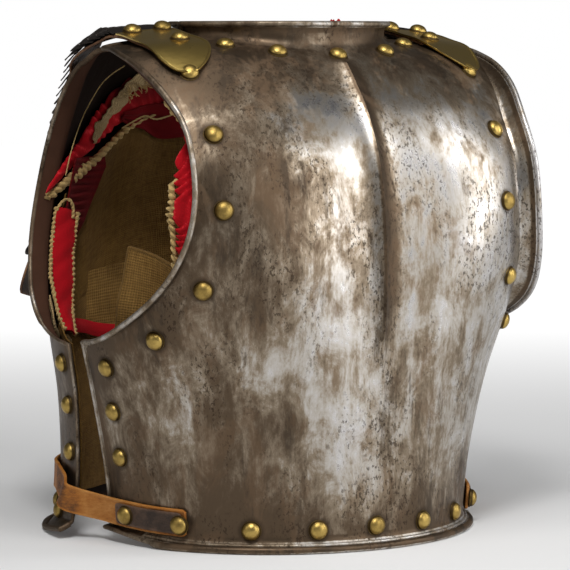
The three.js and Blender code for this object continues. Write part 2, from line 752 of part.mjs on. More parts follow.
function neckScrap() {
  const { x, y, foot, tip, low, high, thick, curl, turn } = NECK_SCRAP;
  const layer = (back) =>
    [0, 0.5, 1].map((up) =>
      [-1, 0, 1].map((side) => {
        const lean = curl * Math.sin(turn * up + side);
        return new THREE.Vector3(x + (side * mix(foot, tip, up)) / 2, y + back + lean, mix(low, high, up));
      }),
    );
  return wall(layer(0), layer(thick));
}

// The backplate with its rivets' heads on it.
function rivetedBack() {
  const heads = [];
  for (const { places } of BACK_RIVETS) {
    for (const [degrees, w] of places) {
      heads.push(rivetOn(BACK, degrees, w, -RIVET.sunk));
      if (degrees < 90) heads.push(rivetOn(BACK, 180 - degrees, w, -RIVET.sunk));
    }
  }
  return combined(plateSolid(BACK), heads, "add");
}

// ---- the whole ----------------------------------------------------------------------------------------

const cuirass = new THREE.Group();
const materials = {
  steel: { color: 0x9a9288, roughness: 0.4, metalness: 0.9 },
  brass: { color: 0xb08d3c, roughness: 0.35, metalness: 1 },
  leather: { color: 0x8a4a18, roughness: 0.6, metalness: 0 },
  dark_leather: { color: 0x3a241a, roughness: 0.6, metalness: 0 },
  scales: { color: 0x2c2622, roughness: 0.5, metalness: 0.8 },
  canvas: { color: 0x6e5c38, roughness: 0.95, metalness: 0 },
  red_cloth: { color: 0xa01420, roughness: 0.9, metalness: 0 },
  cord: { color: 0xb89a66, roughness: 0.9, metalness: 0 },
};
for (const name in materials) materials[name] = new THREE.MeshStandardMaterial(materials[name]);

function add(name, geometry, material) {
  const mesh = new THREE.Mesh(geometry, material);
  mesh.name = name;
  cuirass.add(mesh);
}

function addPair(name, geometry, material) {
  add(`right_${name}`, geometry, material);
  add(`left_${name}`, mirrored(geometry), material);
}

// Adds a plate's rivets, each row numbered in its table's order.
function addRivets(plate, table) {
  for (const { row, lift = GAP, places } of table) {
    places.forEach(([degrees, w], i) => {
      const geometry = rivetOn(plate, degrees, w, lift);
      const name = `${row}_rivet_${i + 1}`;
      if (degrees === 90) add(name, geometry, materials.brass);
      else addPair(name, geometry, materials.brass);
    });
  }
}

add("breastplate", plateSolid(BREAST), materials.steel);
add("backplate", rivetedBack(), materials.steel);
addRivets(BREAST, BREAST_RIVETS);
addPair("strap", strapSolid(), materials.leather);
addPair("scales", scalesSolid(), materials.scales);
addPair("end_plate", endPlateSolid(), materials.brass);
addEndRivets();
addPair("belt", beltSolid(), materials.leather);
addPair("belt_tab", beltTabSolid(), materials.dark_leather);
add("buckle", buckleSolid(), materials.brass);
add("breast_lining", liningSolid(BREAST, BREAST_LINING), materials.canvas);
add("back_lining", liningSolid(BACK, BACK_LINING), materials.canvas);
addPair("lining_flap", flapSolid(), materials.canvas);
add("breast_ruffle", borderSolid(BREAST, BREAST_LINING, RUFFLE), materials.red_cloth);
add("back_border", borderSolid(BACK, BACK_LINING, BORDER), materials.red_cloth);
add("breast_cord", cordAlong(BREAST, BREAST_LINING, BREAST_CORD), materials.cord);
for (const cord of BACK_CORDS) add(cord.name, cordAlong(BACK, BACK_LINING, cord), materials.cord);
add("torn_edge", tornEdge(), materials.canvas);
add("neck_scrap", neckScrap(), materials.red_cloth);

const box = new THREE.Box3().setFromObject(cuirass);
cuirass.position.y = -(box.min.y + box.max.y) / 2;

export default cuirass;
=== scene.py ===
"""A cavalry cuirass: worn steel plates with rolled rims and brass rivets, scaled shoulder straps with brass
end plates, a riveted leather belt, and canvas linings with gathered red borders and twisted cords.

Everything is in metres. +Z is up, the chest faces -Y and the wearer's right side is at -X. Sizes in the
tables are in millimetres. A place on a plate is an angle t, from the wearer's right side (0) to the left side
(pi), and a height place w, one unit for each row of the plate's table.
"""

import math
from copy import copy

import bpy
import numpy as np
from mathutils import Matrix, Vector
from mathutils.kdtree import KDTree


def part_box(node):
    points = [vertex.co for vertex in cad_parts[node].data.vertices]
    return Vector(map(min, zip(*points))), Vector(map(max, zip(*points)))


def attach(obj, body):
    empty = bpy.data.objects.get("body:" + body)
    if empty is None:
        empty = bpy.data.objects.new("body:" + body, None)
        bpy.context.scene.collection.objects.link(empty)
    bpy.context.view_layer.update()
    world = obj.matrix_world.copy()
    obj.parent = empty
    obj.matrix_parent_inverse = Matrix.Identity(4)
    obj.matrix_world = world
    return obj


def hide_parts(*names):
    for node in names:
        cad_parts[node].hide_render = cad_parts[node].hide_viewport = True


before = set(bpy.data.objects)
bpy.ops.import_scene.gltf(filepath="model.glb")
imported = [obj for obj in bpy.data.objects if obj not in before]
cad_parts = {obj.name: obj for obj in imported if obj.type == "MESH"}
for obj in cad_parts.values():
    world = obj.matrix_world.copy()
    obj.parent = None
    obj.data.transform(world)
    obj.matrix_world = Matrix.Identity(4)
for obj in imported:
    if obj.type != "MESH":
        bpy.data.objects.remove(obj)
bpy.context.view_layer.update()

MM = 0.001
DEGREE = math.pi / 180

# ---- the torso --------------------------------------------------------------------------------------------


class Plate:
    """One steel plate's sections and edges. Each row of sections is side height, middle height, half width,
    depth and squareness."""

    def __init__(self, facing, sections, side_angles, armhole, ridge, hem):
        self.facing = facing
        self.sections = np.array(sections, float)
        self.waist_angle, self.armpit_angle, self.shoulder_angle = (a * DEGREE for a in side_angles)
        self.low, self.top, reach, self.skew, self.flange, self.turn = armhole
        self.reach = reach * DEGREE
        self.ridge = ridge
        self.drop, self.flare, self.rise = hem
        self.neck_row = len(sections) - 1


BREAST = Plate(
    facing=-1,
    sections=[
        (12, 12, 155, 149, 1),
        (60, 60, 161, 151, 1),
        (120, 120, 174, 154, 0.95),
        (180, 180, 190, 156, 0.82),
        (240, 240, 200, 156, 0.68),
        (300, 297, 207, 148, 0.66),
        (350, 338, 195, 131, 0.76),
        (380, 364, 178, 112, 0.84),
        (392, 380, 158, 98, 0.9),
        (399, 389, 93, 88, 1),
    ],
    side_angles=(1, 3, 3),
    armhole=(2.65, 7.9, 50, 1.25, 16, 4),
    ridge=dict(high=7.5, wide=9, low=2.0, lead=1.3, top=8.5, fade=0.55),
    hem=(12, 6, 10.5),
)
BACK = Plate(
    facing=1,
    sections=[
        (14, 14, 180, 152, 0.85),
        (50, 50, 175, 146, 0.8),
        (110, 110, 177, 148, 0.8),
        (170, 170, 185, 152, 0.8),
        (235, 235, 183, 160, 0.78),
        (296, 298, 171, 158, 0.78),
        (345, 348, 160, 142, 0.8),
        (377, 382, 156, 116, 0.85),
        (392, 395, 147, 94, 0.9),
        (399, 399, 92, 74, 1),
    ],
    side_angles=(6, 4, 3),
    armhole=(2.75, 7.9, 30, 1, 12, 4),
    ridge=None,
    hem=(14, 10, 9),
)
STEEL = 1.8 * MM
COLLAR_TOP = 410  # height of the neck rim
COLLAR = np.array([(0, 0), (0.25, 3.6), (0.65, 3.8), (1, 1)])  # shares of its height, and how far it leans in
HEM_FLAT = 0.65  # sine of the angle past which the lower rim lies flat on the ground


def mix(a, b, s):
    return a + (b - a) * s


def smooth(s):
    s = np.clip(s, 0, 1)
    return s * s * (3 - 2 * s)


def unit(v):
    return v / np.maximum(np.linalg.norm(v, axis=-1, keepdims=True), 1e-12)


def between(rows, place):
    """Rows of a table at places between them, on a smooth curve through them."""
    last = len(rows) - 1
    i = np.clip(np.floor(place), 0, last - 1).astype(int)
    s = np.asarray(place - i, float)
    if rows.ndim > 1:
        s = s[..., None]
    a, b, c, d = (rows[np.clip(i + k, 0, last)] for k in (-1, 0, 1, 2))
    return b + s / 2 * (c - a + s * (2 * a - 5 * b + 4 * c - d + s * (3 * (b - c) + d - a)))


def ridge_height(plate, x, w):
    """The height of a breastplate's medial ridge over the smooth chest."""
    if not plate.ridge:
        return 0
    r = plate.ridge
    rise = smooth((w - r["low"]) / r["lead"]) * smooth((r["top"] - w) / r["fade"])
    return r["high"] * rise * np.exp(-np.abs(x) / r["wide"])


def round_section(plate, t, w):
    """Places on a plate's outer face, in millimetres from the torso's own middle."""
    side, mid, half, deep, square = (between(plate.sections[:, k], w) for k in range(5))
    x = -half * np.sign(np.cos(t)) * np.abs(np.cos(t)) ** square
    out = deep * np.sign(np.sin(t)) * np.abs(np.sin(t)) ** square
    y = plate.facing * (out + ridge_height(plate, x, w))
    return np.stack(np.broadcast_arrays(x, y, mix(side, mid, np.sin(t) ** 2)), -1)


# The torso's own middle lies a little off the frame's.
chest = round_section(BREAST, np.full(200, math.pi / 2), np.linspace(0, BREAST.neck_row, 200))
SHIFT = np.array([0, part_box("breastplate")[0].y - chest[:, 1].min() * MM, 0])


def on_plate(plate, t, w):
    return round_section(plate, t, w) * MM + SHIFT


def normal_of(plate, t, w):
    """The outward normals of a plate's face."""
    e = 0.01
    turn = on_plate(plate, t + e, w) - on_plate(plate, t - e, w)
    up = on_plate(plate, t, np.minimum(plate.neck_row, w + e)) - on_plate(plate, t, np.maximum(0, w - e))
    return unit(np.cross(turn, up)) * -plate.facing


def up_armhole(plate, w):
    side = plate.sections[:, 0]
    low, top = between(side, np.array(plate.low)), between(side, np.array(plate.top))
    return np.clip((between(side, w) - low) / (top - low), 0, 1)


def edge_angle(plate, w):
    """The angle at which a plate's wall begins on the wearer's right."""
    s = up_armhole(plate, w)
    skewed = s**plate.skew
    armhole = mix(plate.armpit_angle, plate.shoulder_angle, s)
    armhole = armhole + plate.reach * np.sqrt(np.maximum(4 * skewed * (1 - skewed), 0))
    waist = mix(plate.waist_angle, plate.armpit_angle, w / plate.low)
    return np.where(w <= plate.low, waist, np.where(w >= plate.top, plate.shoulder_angle, armhole))


def place_over(plate, x, y):
    """The place on a plate's shoulder over a point of the ground plan, found by Newton's method."""
    step = 1e-3
    t = math.atan2(abs(y), abs(x))
    w = plate.neck_row - 1.0
    for _ in range(12):
        p = round_section(plate, np.array(t), np.array(w))
        turn = (round_section(plate, np.array(t + step), np.array(w)) - p) / step
        up = (round_section(plate, np.array(t), np.array(w + step)) - p) / step
        dx, dy = x - p[0], y - p[1]
        area = turn[0] * up[1] - turn[1] * up[0]
        t = max(0.01, t + (dx * up[1] - dy * up[0]) / area)
        w = min(plate.neck_row - 2 * step, w + (turn[0] * dy - turn[1] * dx) / area)
    return t, w


def wobble(s, seed, waves=5):
    """A smooth irregular curve of about one unit, the same on every run."""
    draw = np.random.default_rng(seed)
    rate = draw.uniform(0.5, 2.2, waves)
    phase = draw.uniform(0, 2 * math.pi, waves)
    return sum(np.sin(r * s + p) for r, p in zip(rate, phase)) / math.sqrt(waves)


# ---- lines over the torso ---------------------------------------------------------------------------------


class Line:
    """A smooth line through points, with its normal and its direction across at every station."""

    def __init__(self, points, normals, count, flip=1, sag=None):
        place = np.linspace(0, len(points) - 1, count)
        self.points = between(points, place)
        self.normals = unit(between(normals, place))
        self.sag = np.zeros(count) if sag is None else between(sag, place)
        run = np.gradient(self.points, axis=0)
        self.across = unit(np.cross(run, self.normals)) * flip
        steps = np.linalg.norm(np.diff(self.points, axis=0), axis=1)
        self.far = np.concatenate([[0], np.cumsum(steps)])
        self.length = self.far[-1]

    def reach(self, share):
        """The distance along the line at a share of its stations."""
        return np.interp(share, np.linspace(0, 1, len(self.far)), self.far)

    def raised(self, high):
        """The same line, so many millimetres off the surface."""
        other = copy(self)
        other.points = self.points + self.normals * high * MM
        return other

    def at(self, across, along, high):
        """Places across, along and over the line, in metres."""

        def of(rows):
            return np.stack([np.interp(along, self.far, rows[:, k]) for k in range(3)], -1)

        side, normal = unit(of(self.across)), unit(of(self.normals))
        before = np.minimum(along, 0)[..., None]
        beyond = np.maximum(along - self.length, 0)[..., None]
        first, last = unit(self.points[1] - self.points[0]), unit(self.points[-1] - self.points[-2])
        drop = np.interp(along, self.far, self.sag) * across**2
        point = of(self.points) + before * first + beyond * last
        return point + across[..., None] * side + (high - drop)[..., None] * normal


def line_on(stations, count, width):
    """A line through stations (plate, t, w, lift, sag), where sag drops the edges of a band of that width."""
    points, normals, sags = [], [], []
    for plate, t, w, lift, sag in stations:
        normal = normal_of(plate, np.array(t), np.array(w))
        points.append(on_plate(plate, np.array(t), np.array(w)) + normal * lift * MM)
        normals.append(normal)
        sags.append(sag * MM / (width / 2) ** 2)
    return Line(np.array(points), np.array(normals), count, sag=np.array(sags))


def lay(piece, line, start=0.0):
    """Bends a piece that is modelled flat, x across and y along, onto a line from that distance on."""
    flat = coordinates(piece)
    set_coordinates(piece, line.at(flat[:, 0], flat[:, 1] + start, flat[:, 2]))


# ---- working on pieces ------------------------------------------------------------------------------------

bpy.ops.object.select_all(action="DESELECT")


def coordinates(piece):
    co = np.empty(len(piece.data.vertices) * 3)
    piece.data.vertices.foreach_get("co", co)
    return co.reshape(-1, 3)


def set_coordinates(piece, places):
    piece.data.vertices.foreach_set("co", np.ascontiguousarray(places, float).ravel())
    piece.data.update()


def only(piece):
    bpy.ops.object.select_all(action="DESELECT")
    piece.select_set(True)
    bpy.context.view_layer.objects.active = piece
    return piece


def new_piece(name):
    """The primitive just added, named, with its place in its mesh."""
    piece = bpy.context.object
    piece.name = piece.data.name = name
    bpy.ops.object.transform_apply(location=True, rotation=True, scale=True)
    return only(piece)


def edit(piece, *steps):
    """Runs edit-mode operators, each (operator, settings), on all of a piece."""
    only(piece)
    bpy.ops.object.mode_set(mode="EDIT")
    bpy.ops.mesh.select_mode(type="VERT")
    bpy.ops.mesh.select_all(action="SELECT")
    for operator, settings in steps:
        operator(**settings)
    bpy.ops.object.mode_set(mode="OBJECT")
    return piece


def apply(piece, kind, **settings):
    only(piece)
    bpy.ops.object.modifier_add(type=kind)
    modifier = piece.modifiers[-1]
    for key, value in settings.items():
        setattr(modifier, key, value)
    bpy.ops.object.modifier_apply(modifier=modifier.name)
    return piece


def walled(piece, thick, offset=-1):
    return apply(piece, "SOLIDIFY", thickness=thick, offset=offset, use_quality_normals=True)


def copied(piece, name):
    only(piece)
    bpy.ops.object.duplicate()
    double = bpy.context.object
    double.name = double.data.name = name
    return only(double)


def flipped(piece):
    return edit(piece, (bpy.ops.mesh.flip_normals, {}))


def mirrored(piece, name):
    """A copy on the other side of the body."""
    double = copied(piece, name)
    set_coordinates(double, coordinates(double) * (-1, 1, 1))
    return flipped(double)


def joined(name, pieces):
    only(pieces[0])
    for piece in pieces:
        piece.select_set(True)
    bpy.context.view_layer.objects.active = pieces[0]
    if len(pieces) > 1:
        bpy.ops.object.join()
    piece = bpy.context.object
    piece.name = piece.data.name = name
    return piece


def sheet_grid(name, places, flat=None):
    """A grid with its corners moved to places, rows upwards. Its UV map is its flat size in metres."""
    rows, columns = places.shape[:2]
    cuts = dict(x_subdivisions=columns - 1, y_subdivisions=rows - 1)
    bpy.ops.mesh.primitive_grid_add(**cuts, size=1, calc_uvs=True)
    piece = new_piece(name)
    set_coordinates(piece, places.reshape(-1, 3))
    if flat is not None:
        spread_uv(piece, *flat)
    return piece


def spread_uv(piece, wide, long):
    layer = piece.data.uv_layers[0].data
    uv = np.empty(len(layer) * 2)
    layer.foreach_get("uv", uv)
    layer.foreach_set("uv", (uv.reshape(-1, 2) * (wide, long)).ravel())


def tube_grid(name, places, flat):
    """A closed tube through rings of places, with filled ends."""
    closed = np.concatenate([places, places[:, :1]], 1)
    piece = sheet_grid(name, closed, flat)
    return edit(
        piece,
        (bpy.ops.mesh.remove_doubles, dict(threshold=1e-7)),
        (bpy.ops.mesh.fill_holes, dict(sides=0)),
        (bpy.ops.mesh.normals_make_consistent, dict(inside=False)),
    )


def set_attribute(piece, name, values):
    """A number at every corner of a piece, from values for each or one value for all."""
    layer = piece.data.attributes.new(name, "FLOAT", "POINT")
    layer.data.foreach_set("value", np.array(np.broadcast_to(values, len(layer.data)), float))


def set_ring_attribute(piece, name, values):
    """A number at every corner of a tube's rings, and 0 at any others."""
    every = np.zeros(len(piece.data.vertices))
    every[: values.size] = values.ravel()[: len(every)]
    set_attribute(piece, name, every)


def nearest(piece, points):
    """The distance from each of a piece's corners to the nearest of some points."""
    tree = KDTree(len(points))
    for i, point in enumerate(points):
        tree.insert(point, i)
    tree.balance()
    return np.array([tree.find(v.co)[2] for v in piece.data.vertices])


def finished(piece, material, replaces=(), angle=40):
    """Gives a piece its material, smooth shading and body, and hides the CAD nodes that it stands for."""
    piece.data.materials.clear()
    piece.data.materials.append(material)
    only(piece)
    bpy.ops.object.shade_smooth_by_angle(angle=angle * DEGREE)
    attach(piece, "root")
    if replaces:
        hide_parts(*replaces)
    return piece


def both_sides(piece, name, material, node=None):
    """A right piece and its mirror image on the left, both finished, for the two sides' CAD nodes."""
    piece.name = f"right_{name}"
    pair = (piece, mirrored(piece, f"left_{name}"))
    for each, side in zip(pair, ("right", "left")):
        finished(each, material, [f"{side}_{node}"] if node else ())
    return pair


# ---- shader nodes -----------------------------------------------------------------------------------------


class Value:
    """A node's output. Sums, differences and products of it add Math nodes."""

    def __init__(self, finish, socket):
        self.finish, self.socket = finish, socket

    def math(self, operation, *others):
        return self.finish.node("ShaderNodeMath", dict(operation=operation), inputs=(self, *others))

    def __add__(self, other):
        return self.math("ADD", other)

    def __mul__(self, other):
        return self.math("MULTIPLY", other)

    def __sub__(self, other):
        return self.math("SUBTRACT", other)

    def __rsub__(self, other):
        return self.finish.node("ShaderNodeMath", dict(operation="SUBTRACT"), inputs=(other, self))

    __radd__, __rmul__ = __add__, __mul__

    def clamped(self):
        return self.finish.node("ShaderNodeClamp", {}, inputs=(self,))

    def over(self, low, high):
        """0 below low, 1 above high and a smooth step between."""
        settings = dict(interpolation_type="SMOOTHSTEP")
        return self.finish.node("ShaderNodeMapRange", settings, inputs=(self, low, high))


class Finish:
    """A material built around one Principled shader. Keyword numbers go on the shader's own sockets."""

    def __init__(self, name, **numbers):
        self.material = bpy.data.materials.new(name)
        self.material.use_nodes = True
        self.tree = self.material.node_tree
        self.shader = self.tree.nodes["Principled BSDF"]
        for label, number in numbers.items():
            self.shader.inputs[label.replace("_", " ")].default_value = number

    def node(self, kind, settings, inputs=(), out=0):
        """Any node: its type, its settings, and the values or links of its sockets by place or name."""
        node = self.tree.nodes.new(kind)
        stops = settings.pop("stops", None)
        for key, value in settings.items():
            setattr(node, key, value)
        if stops:
            ramp = node.color_ramp
            while len(ramp.elements) < len(stops):
                ramp.elements.new(1)
            for element, (at, color) in zip(ramp.elements, stops):
                element.position, element.color = at, (*color, 1)
        pairs = inputs.items() if isinstance(inputs, dict) else enumerate(inputs)
        for key, value in pairs:
            if isinstance(value, Value):
                self.tree.links.new(value.socket, node.inputs[key])
            else:
                node.inputs[key].default_value = value
        return Value(self, node.outputs[out])

    def feed(self, label, value):
        self.tree.links.new(value.socket, self.shader.inputs[label])

    def place(self, scale=(1, 1, 1), turn=(0, 0, 0), of="Object"):
        """Coordinates on the piece, stretched and turned."""
        spot = self.node("ShaderNodeTexCoord", {}, out=of)
        return self.node("ShaderNodeMapping", {}, dict(Vector=spot, Scale=scale, Rotation=turn))

    def noise(self, place, scale, detail=4, roughness=0.55, distortion=0):
        inputs = dict(Vector=place, Scale=scale, Detail=detail, Roughness=roughness, Distortion=distortion)
        return self.node("ShaderNodeTexNoise", {}, inputs, out="Fac")

    def axes(self, place):
        """The three coordinates of a place, each a number."""
        return [self.node("ShaderNodeSeparateXYZ", {}, (place,), out=axis) for axis in "XYZ"]

    def wave(self, place, scale, along="X", distortion=0):
        inputs = dict(Vector=place, Scale=scale, Distortion=distortion)
        return self.node("ShaderNodeTexWave", dict(bands_direction=along), inputs, out="Fac")

    def ramp(self, value, *stops):
        return self.node("ShaderNodeValToRGB", dict(stops=stops), (value,))

    def blend(self, factor, a, b):
        """A mix of two colours, each a link or a plain colour."""
        a, b = (c if isinstance(c, Value) else (*c, 1) for c in (a, b))
        return self.node("ShaderNodeMix", dict(data_type="RGBA"), {0: factor, 6: a, 7: b}, out=2)

    def attribute(self, name):
        return self.node("ShaderNodeAttribute", dict(attribute_name=name), out="Fac")

    def bumped(self, *layers):
        """Layers of relief, each (height, distance in metres, strength), one on the other."""
        normal = None
        for height, distance, strength in layers:
            inputs = dict(Strength=strength, Distance=distance, Height=height)
            if normal:
                inputs["Normal"] = normal
            normal = self.node("ShaderNodeBump", {}, inputs)
        self.feed("Normal", normal)


def darker(color, share):
    return tuple(c * share for c in color)


def steel_finish(name, stain, ridged):
    """Old polished steel: bright where rubbed, brown where stained, streaked, speckled and pitted, with
    painted shade towards its top, the wearer's right and its foot, in the groove inside its rims and in the
    hollow beside a ridge, and painted near-black shade deep inside.
    """
    f = Finish(name, Specular_IOR_Level=0.12)
    here = f.place()
    clouds = f.noise(here, 7, 3, 0.5, 0.6)
    mottle = f.noise(f.place((1, 1, 0.6)), 40, 9, 0.7, 0.5)
    streaks = f.noise(f.place((1, 1, 0.09)), 90, 7, 0.7, 0.2)
    grain = f.noise(f.place((1, 1, 0.5)), 240, 5, 0.75)
    cluster = f.noise(f.place((1, 1, 0.5)), 21, 6, 0.6, 0.5).over(0.44, 0.58)
    specks = f.noise(f.place((1, 1, 0.6)), 400, 3, 0.7).over(0.54, 0.6) * cluster
    border = f.attribute("border")
    edge = 1 - border.over(0.002, 0.028)
    lip = 1 - border.over(0.0028, 0.0036)
    groove = border.over(0.0032, 0.0042) * (1 - border.over(0.0052, 0.0085))
    ring = 1 - f.attribute("rivet").over(0.0078, 0.0122)
    across, depth, height = f.axes(here)
    # Painted shade: darker towards the top, towards the wearer's right and towards the bottom, and in the
    # groove inside the rims; the rims are also stained darker near their edges and rubbed lighter on their
    # lips.
    high = height.over(0.335, 0.385) * 0.3
    right = (0 - across).over(0.02, 0.13) * 0.26
    low = (0.09 - height).over(0, 0.07) * 0.16
    stain_and_shade = high + right + low + edge * 0.12 + groove * 0.4 - lip * 0.3 + stain
    if ridged:
        # Painted shade in the hollow beside the ridge; the keel is also darkened along its crest.
        hollow = across.over(0.0, 0.004) * (1 - across.over(0.006, 0.02))
        hollow = hollow * height.over(0.13, 0.2) * (1 - height.over(0.36, 0.39)) * (0 - depth).over(0.05, 0.1)
        keel = (1 - across.math("ABSOLUTE").over(0.0008, 0.0028)) * height.over(0.14, 0.2)
        stain_and_shade = stain_and_shade + hollow * 0.42 + keel * 0.3
    # The patina here carries the painted shade above as well as the random stains.
    patina_and_shade = (clouds * 0.5 + mottle * 1.05 + streaks * 0.5 + grain * 0.3 + stain_and_shade).over(0.93, 1.55)
    rust = (f.noise(f.place((1, 1, 0.5)), 30, 8, 0.72, 0.6) + patina_and_shade * 0.12).over(0.6, 0.7)
    dark = (f.noise(f.place((1, 1, 0.2)), 42, 7, 0.7, 0.4) + clouds * 0.3 + patina_and_shade * 0.1).over(0.76, 0.88)
    color = f.ramp(
        patina_and_shade,
        (0.0, (0.6, 0.585, 0.58)),
        (0.32, (0.47, 0.43, 0.38)),
        (0.64, (0.27, 0.215, 0.155)),
        (1.0, (0.105, 0.073, 0.047)),
    )
    color = f.blend(rust * 0.35, color, (0.17, 0.105, 0.06))
    color = f.blend(dark * 0.6, color, (0.05, 0.038, 0.028))
    color = f.blend((specks * 0.85 + ring * 0.75).clamped() * 0.9, color, (0.035, 0.022, 0.013))
    inside = f.attribute("inside")
    # Inside, the steel is brown near the rims and painted near-black further in, as painted shade.
    deep = border.over(0.013, 0.022)
    lacquer = f.blend(mottle, (0.085, 0.036, 0.02), (0.036, 0.017, 0.01))
    color = f.blend(inside, color, f.blend(deep * 0.85, lacquer, (0.006, 0.005, 0.004)))
    f.feed("Base Color", color)
    tarnish = (rust * 0.25 + specks * 0.3 + ring * 0.4 + patina_and_shade * 0.1).clamped()
    f.feed("Metallic", (1 - tarnish) * (1 - inside))
    rough = patina_and_shade * 0.16 + mottle * 0.1 + grain * 0.1 + rust * 0.1 + ring * 0.1 + inside * 0.15
    f.feed("Roughness", (rough + lip * 0.15 + inside * 0.2 + 0.17).clamped())
    f.bumped(
        (f.noise(here, 14, 2, 0.4), 0.003, 0.15),
        (streaks + mottle, 0.0003, 0.12),
        (grain - specks, 0.0003, 0.12),
    )
    return f.material


def brass_finish(name, tarnish, rough):
    """Old brass, tarnished brown in patches and darker round its foot."""
    f = Finish(name, Metallic=1.0)
    here = f.place()
    clouds = f.noise(here, 75, 6, 0.65) + f.noise(here, 12, 2) * 0.4
    # Darker round the foot of the head, deepest where the base attribute is 0.
    foot_dark = 1 - f.attribute("base").over(0.0, 0.0022)
    old = (clouds * 0.8 + tarnish + foot_dark * 0.55 - f.attribute("rubbed") * 0.5).over(0.5, 1.15)
    color = f.ramp(old, (0, (0.62, 0.44, 0.13)), (0.45, (0.36, 0.245, 0.07)), (1, (0.07, 0.045, 0.018)))
    f.feed("Base Color", color)
    f.feed("Roughness", (old * 0.25 + f.noise(here, 500, 3) * 0.12 + rough).clamped())
    f.bumped((f.noise(here, 260, 4), 0.0004, 0.35))
    return f.material


def leather_finish(name, light, deep, worn):
    """Stained and cracked leather, worn pale along its edges."""
    f = Finish(name, Specular_IOR_Level=0.35)
    here = f.place()
    clouds = f.noise(here, 45, 5, 0.6, 0.4) * 0.6 + f.noise(here, 17, 3) * 0.4
    clouds = (clouds - 0.5) * 2 + 0.5
    grain = f.node("ShaderNodeTexVoronoi", {}, dict(Vector=here, Scale=900), out="Distance")
    cracks = f.noise(f.place((1, 1, 3)), 220, 4, 0.7)
    edge = 1 - f.attribute("border").over(0.0, 0.003)
    wear = (clouds + (cracks - 0.5) * 0.5 + edge * 0.25).clamped()
    f.feed("Base Color", f.ramp(wear, (0.36, deep), (0.62, light), (0.9, worn)))
    f.feed("Roughness", (0.75 - clouds * 0.3).clamped())
    f.bumped((grain, 0.0004, 0.5), (cracks, 0.0006, 0.5))
    return f.material


def canvas_finish(name, threads, light, deep):
    """Coarse plain weave on the piece's own UV map, which is in metres, with painted shade towards the top
    and the wearer's left.
    """
    f = Finish(name, Roughness=0.95, Specular_IOR_Level=0.08, Sheen_Weight=0.04)
    cloth = f.place(of="UV")
    warp = f.wave(cloth, threads, "X", 0.8)
    weft = f.wave(cloth, threads, "Y", 0.8)
    weave = warp.math("MAXIMUM", weft) * 0.6 + warp * weft * 0.4
    here = f.place()
    across, _, height = f.axes(here)
    # Painted shade: the cloth is darker towards the top and towards the wearer's left, +X.
    gloom = (height.over(0.2, 0.36) * 0.5 + across.over(-0.06, 0.06) * 0.4).clamped()
    stain = f.noise(here, 14, 5, 0.6, 0.6)
    slubs = [f.noise(f.place(stretch, of="UV"), threads / 3, 3) * 0.5 for stretch in ((1, 6, 1), (6, 1, 1))]
    slub = slubs[0] + slubs[1]
    color = f.ramp((stain * 0.8 + (slub - 0.5) * 0.8 + 0.1).clamped(), (0.25, deep), (0.72, light))
    color = f.blend((1 - weave) * 0.55, color, darker(deep, 0.3))
    color = f.blend(gloom * 0.45, color, darker(deep, 0.35))
    f.feed("Base Color", color)
    f.bumped((weave, 0.0008, 0.7), (slub, 0.0005, 0.4))
    return f.material


def wool_finish(name, light, deep):
    """Red wool, with painted highlights on the crests of its folds and painted shade in its hollows, on
    pieces given fold values below zero, and at the back towards its top and the wearer's left.
    """
    sheen = dict(Sheen_Weight=0.12, Sheen_Tint=(0.9, 0.25, 0.25, 1))
    f = Finish(name, Roughness=0.9, Specular_IOR_Level=0.12, **sheen)
    here = f.place()
    nap = f.noise(here, 900, 4, 0.7)
    wear = f.noise(here, 40, 4, 0.6)
    rise = f.attribute("fold")
    # Painted light: lighter where the fold attribute is high, with a pale painted highlight on the highest
    # crests.
    color = f.blend((wear * 0.5 + nap * 0.3 + rise * 0.3).clamped(), deep, light)
    color = f.blend((rise.over(0.85, 1.0) * 0.45).clamped(), color, (0.85, 0.06, 0.07))
    across, depth, height = f.axes(here)
    # Painted shade: darker at the back towards the wearer's left and the top, and where the fold attribute is
    # below zero.
    gloom = across.over(-0.03, 0.04).math("MAXIMUM", height.over(0.325, 0.36)) * depth.over(0, 0.02)
    gloom = gloom.math("MAXIMUM", (0 - rise).over(0.3, 1))
    color = f.blend(gloom * 0.8, color, darker(deep, 0.3))
    f.feed("Base Color", color)
    f.bumped((nap, 0.0006, 0.5), (wear, 0.0015, 0.3))
    return f.material


def twine_finish(name, light, deep):
    """Twisted twine, with painted shade between its strands."""
    f = Finish(name, Roughness=0.9, Specular_IOR_Level=0.1, Sheen_Weight=0.08)
    here = f.place()
    fibre = f.noise(here, 700, 4, 0.7)
    color = f.blend((fibre * 0.5 + f.noise(here, 60, 3) * 0.5).clamped(), deep, light)
    # Painted shade in the grooves between the strands.
    color = f.blend((f.attribute("groove") * 0.7).clamped(), color, darker(deep, 0.25))
    f.feed("Base Color", color)
    f.bumped((fibre, 0.0004, 0.6))
    return f.material


def scale_finish(name):
    """Dark tarnished metal painted almost black, partly as painted shade, with a painted highlight along the
    scales' lower edges and patches of random wear.
    """
    f = Finish(name, Metallic=0.85)
    here = f.place()
    wear = f.noise(here, 90, 5, 0.65)
    edge = 1 - f.attribute("border").over(0.0, 0.0022)
    # Lighter along the lower edges as a painted highlight, and in patches of random wear.
    wear_and_highlight = (wear * 0.6 + edge * 0.5).over(0.5, 0.95)
    color = f.ramp(wear_and_highlight, (0, (0.035, 0.028, 0.024)), (0.6, (0.1, 0.08, 0.065)), (1, (0.33, 0.3, 0.27)))
    f.feed("Base Color", color)
    f.feed("Roughness", (0.55 - wear_and_highlight * 0.2).clamped())
    f.bumped((wear, 0.0004, 0.4))
    return f.material


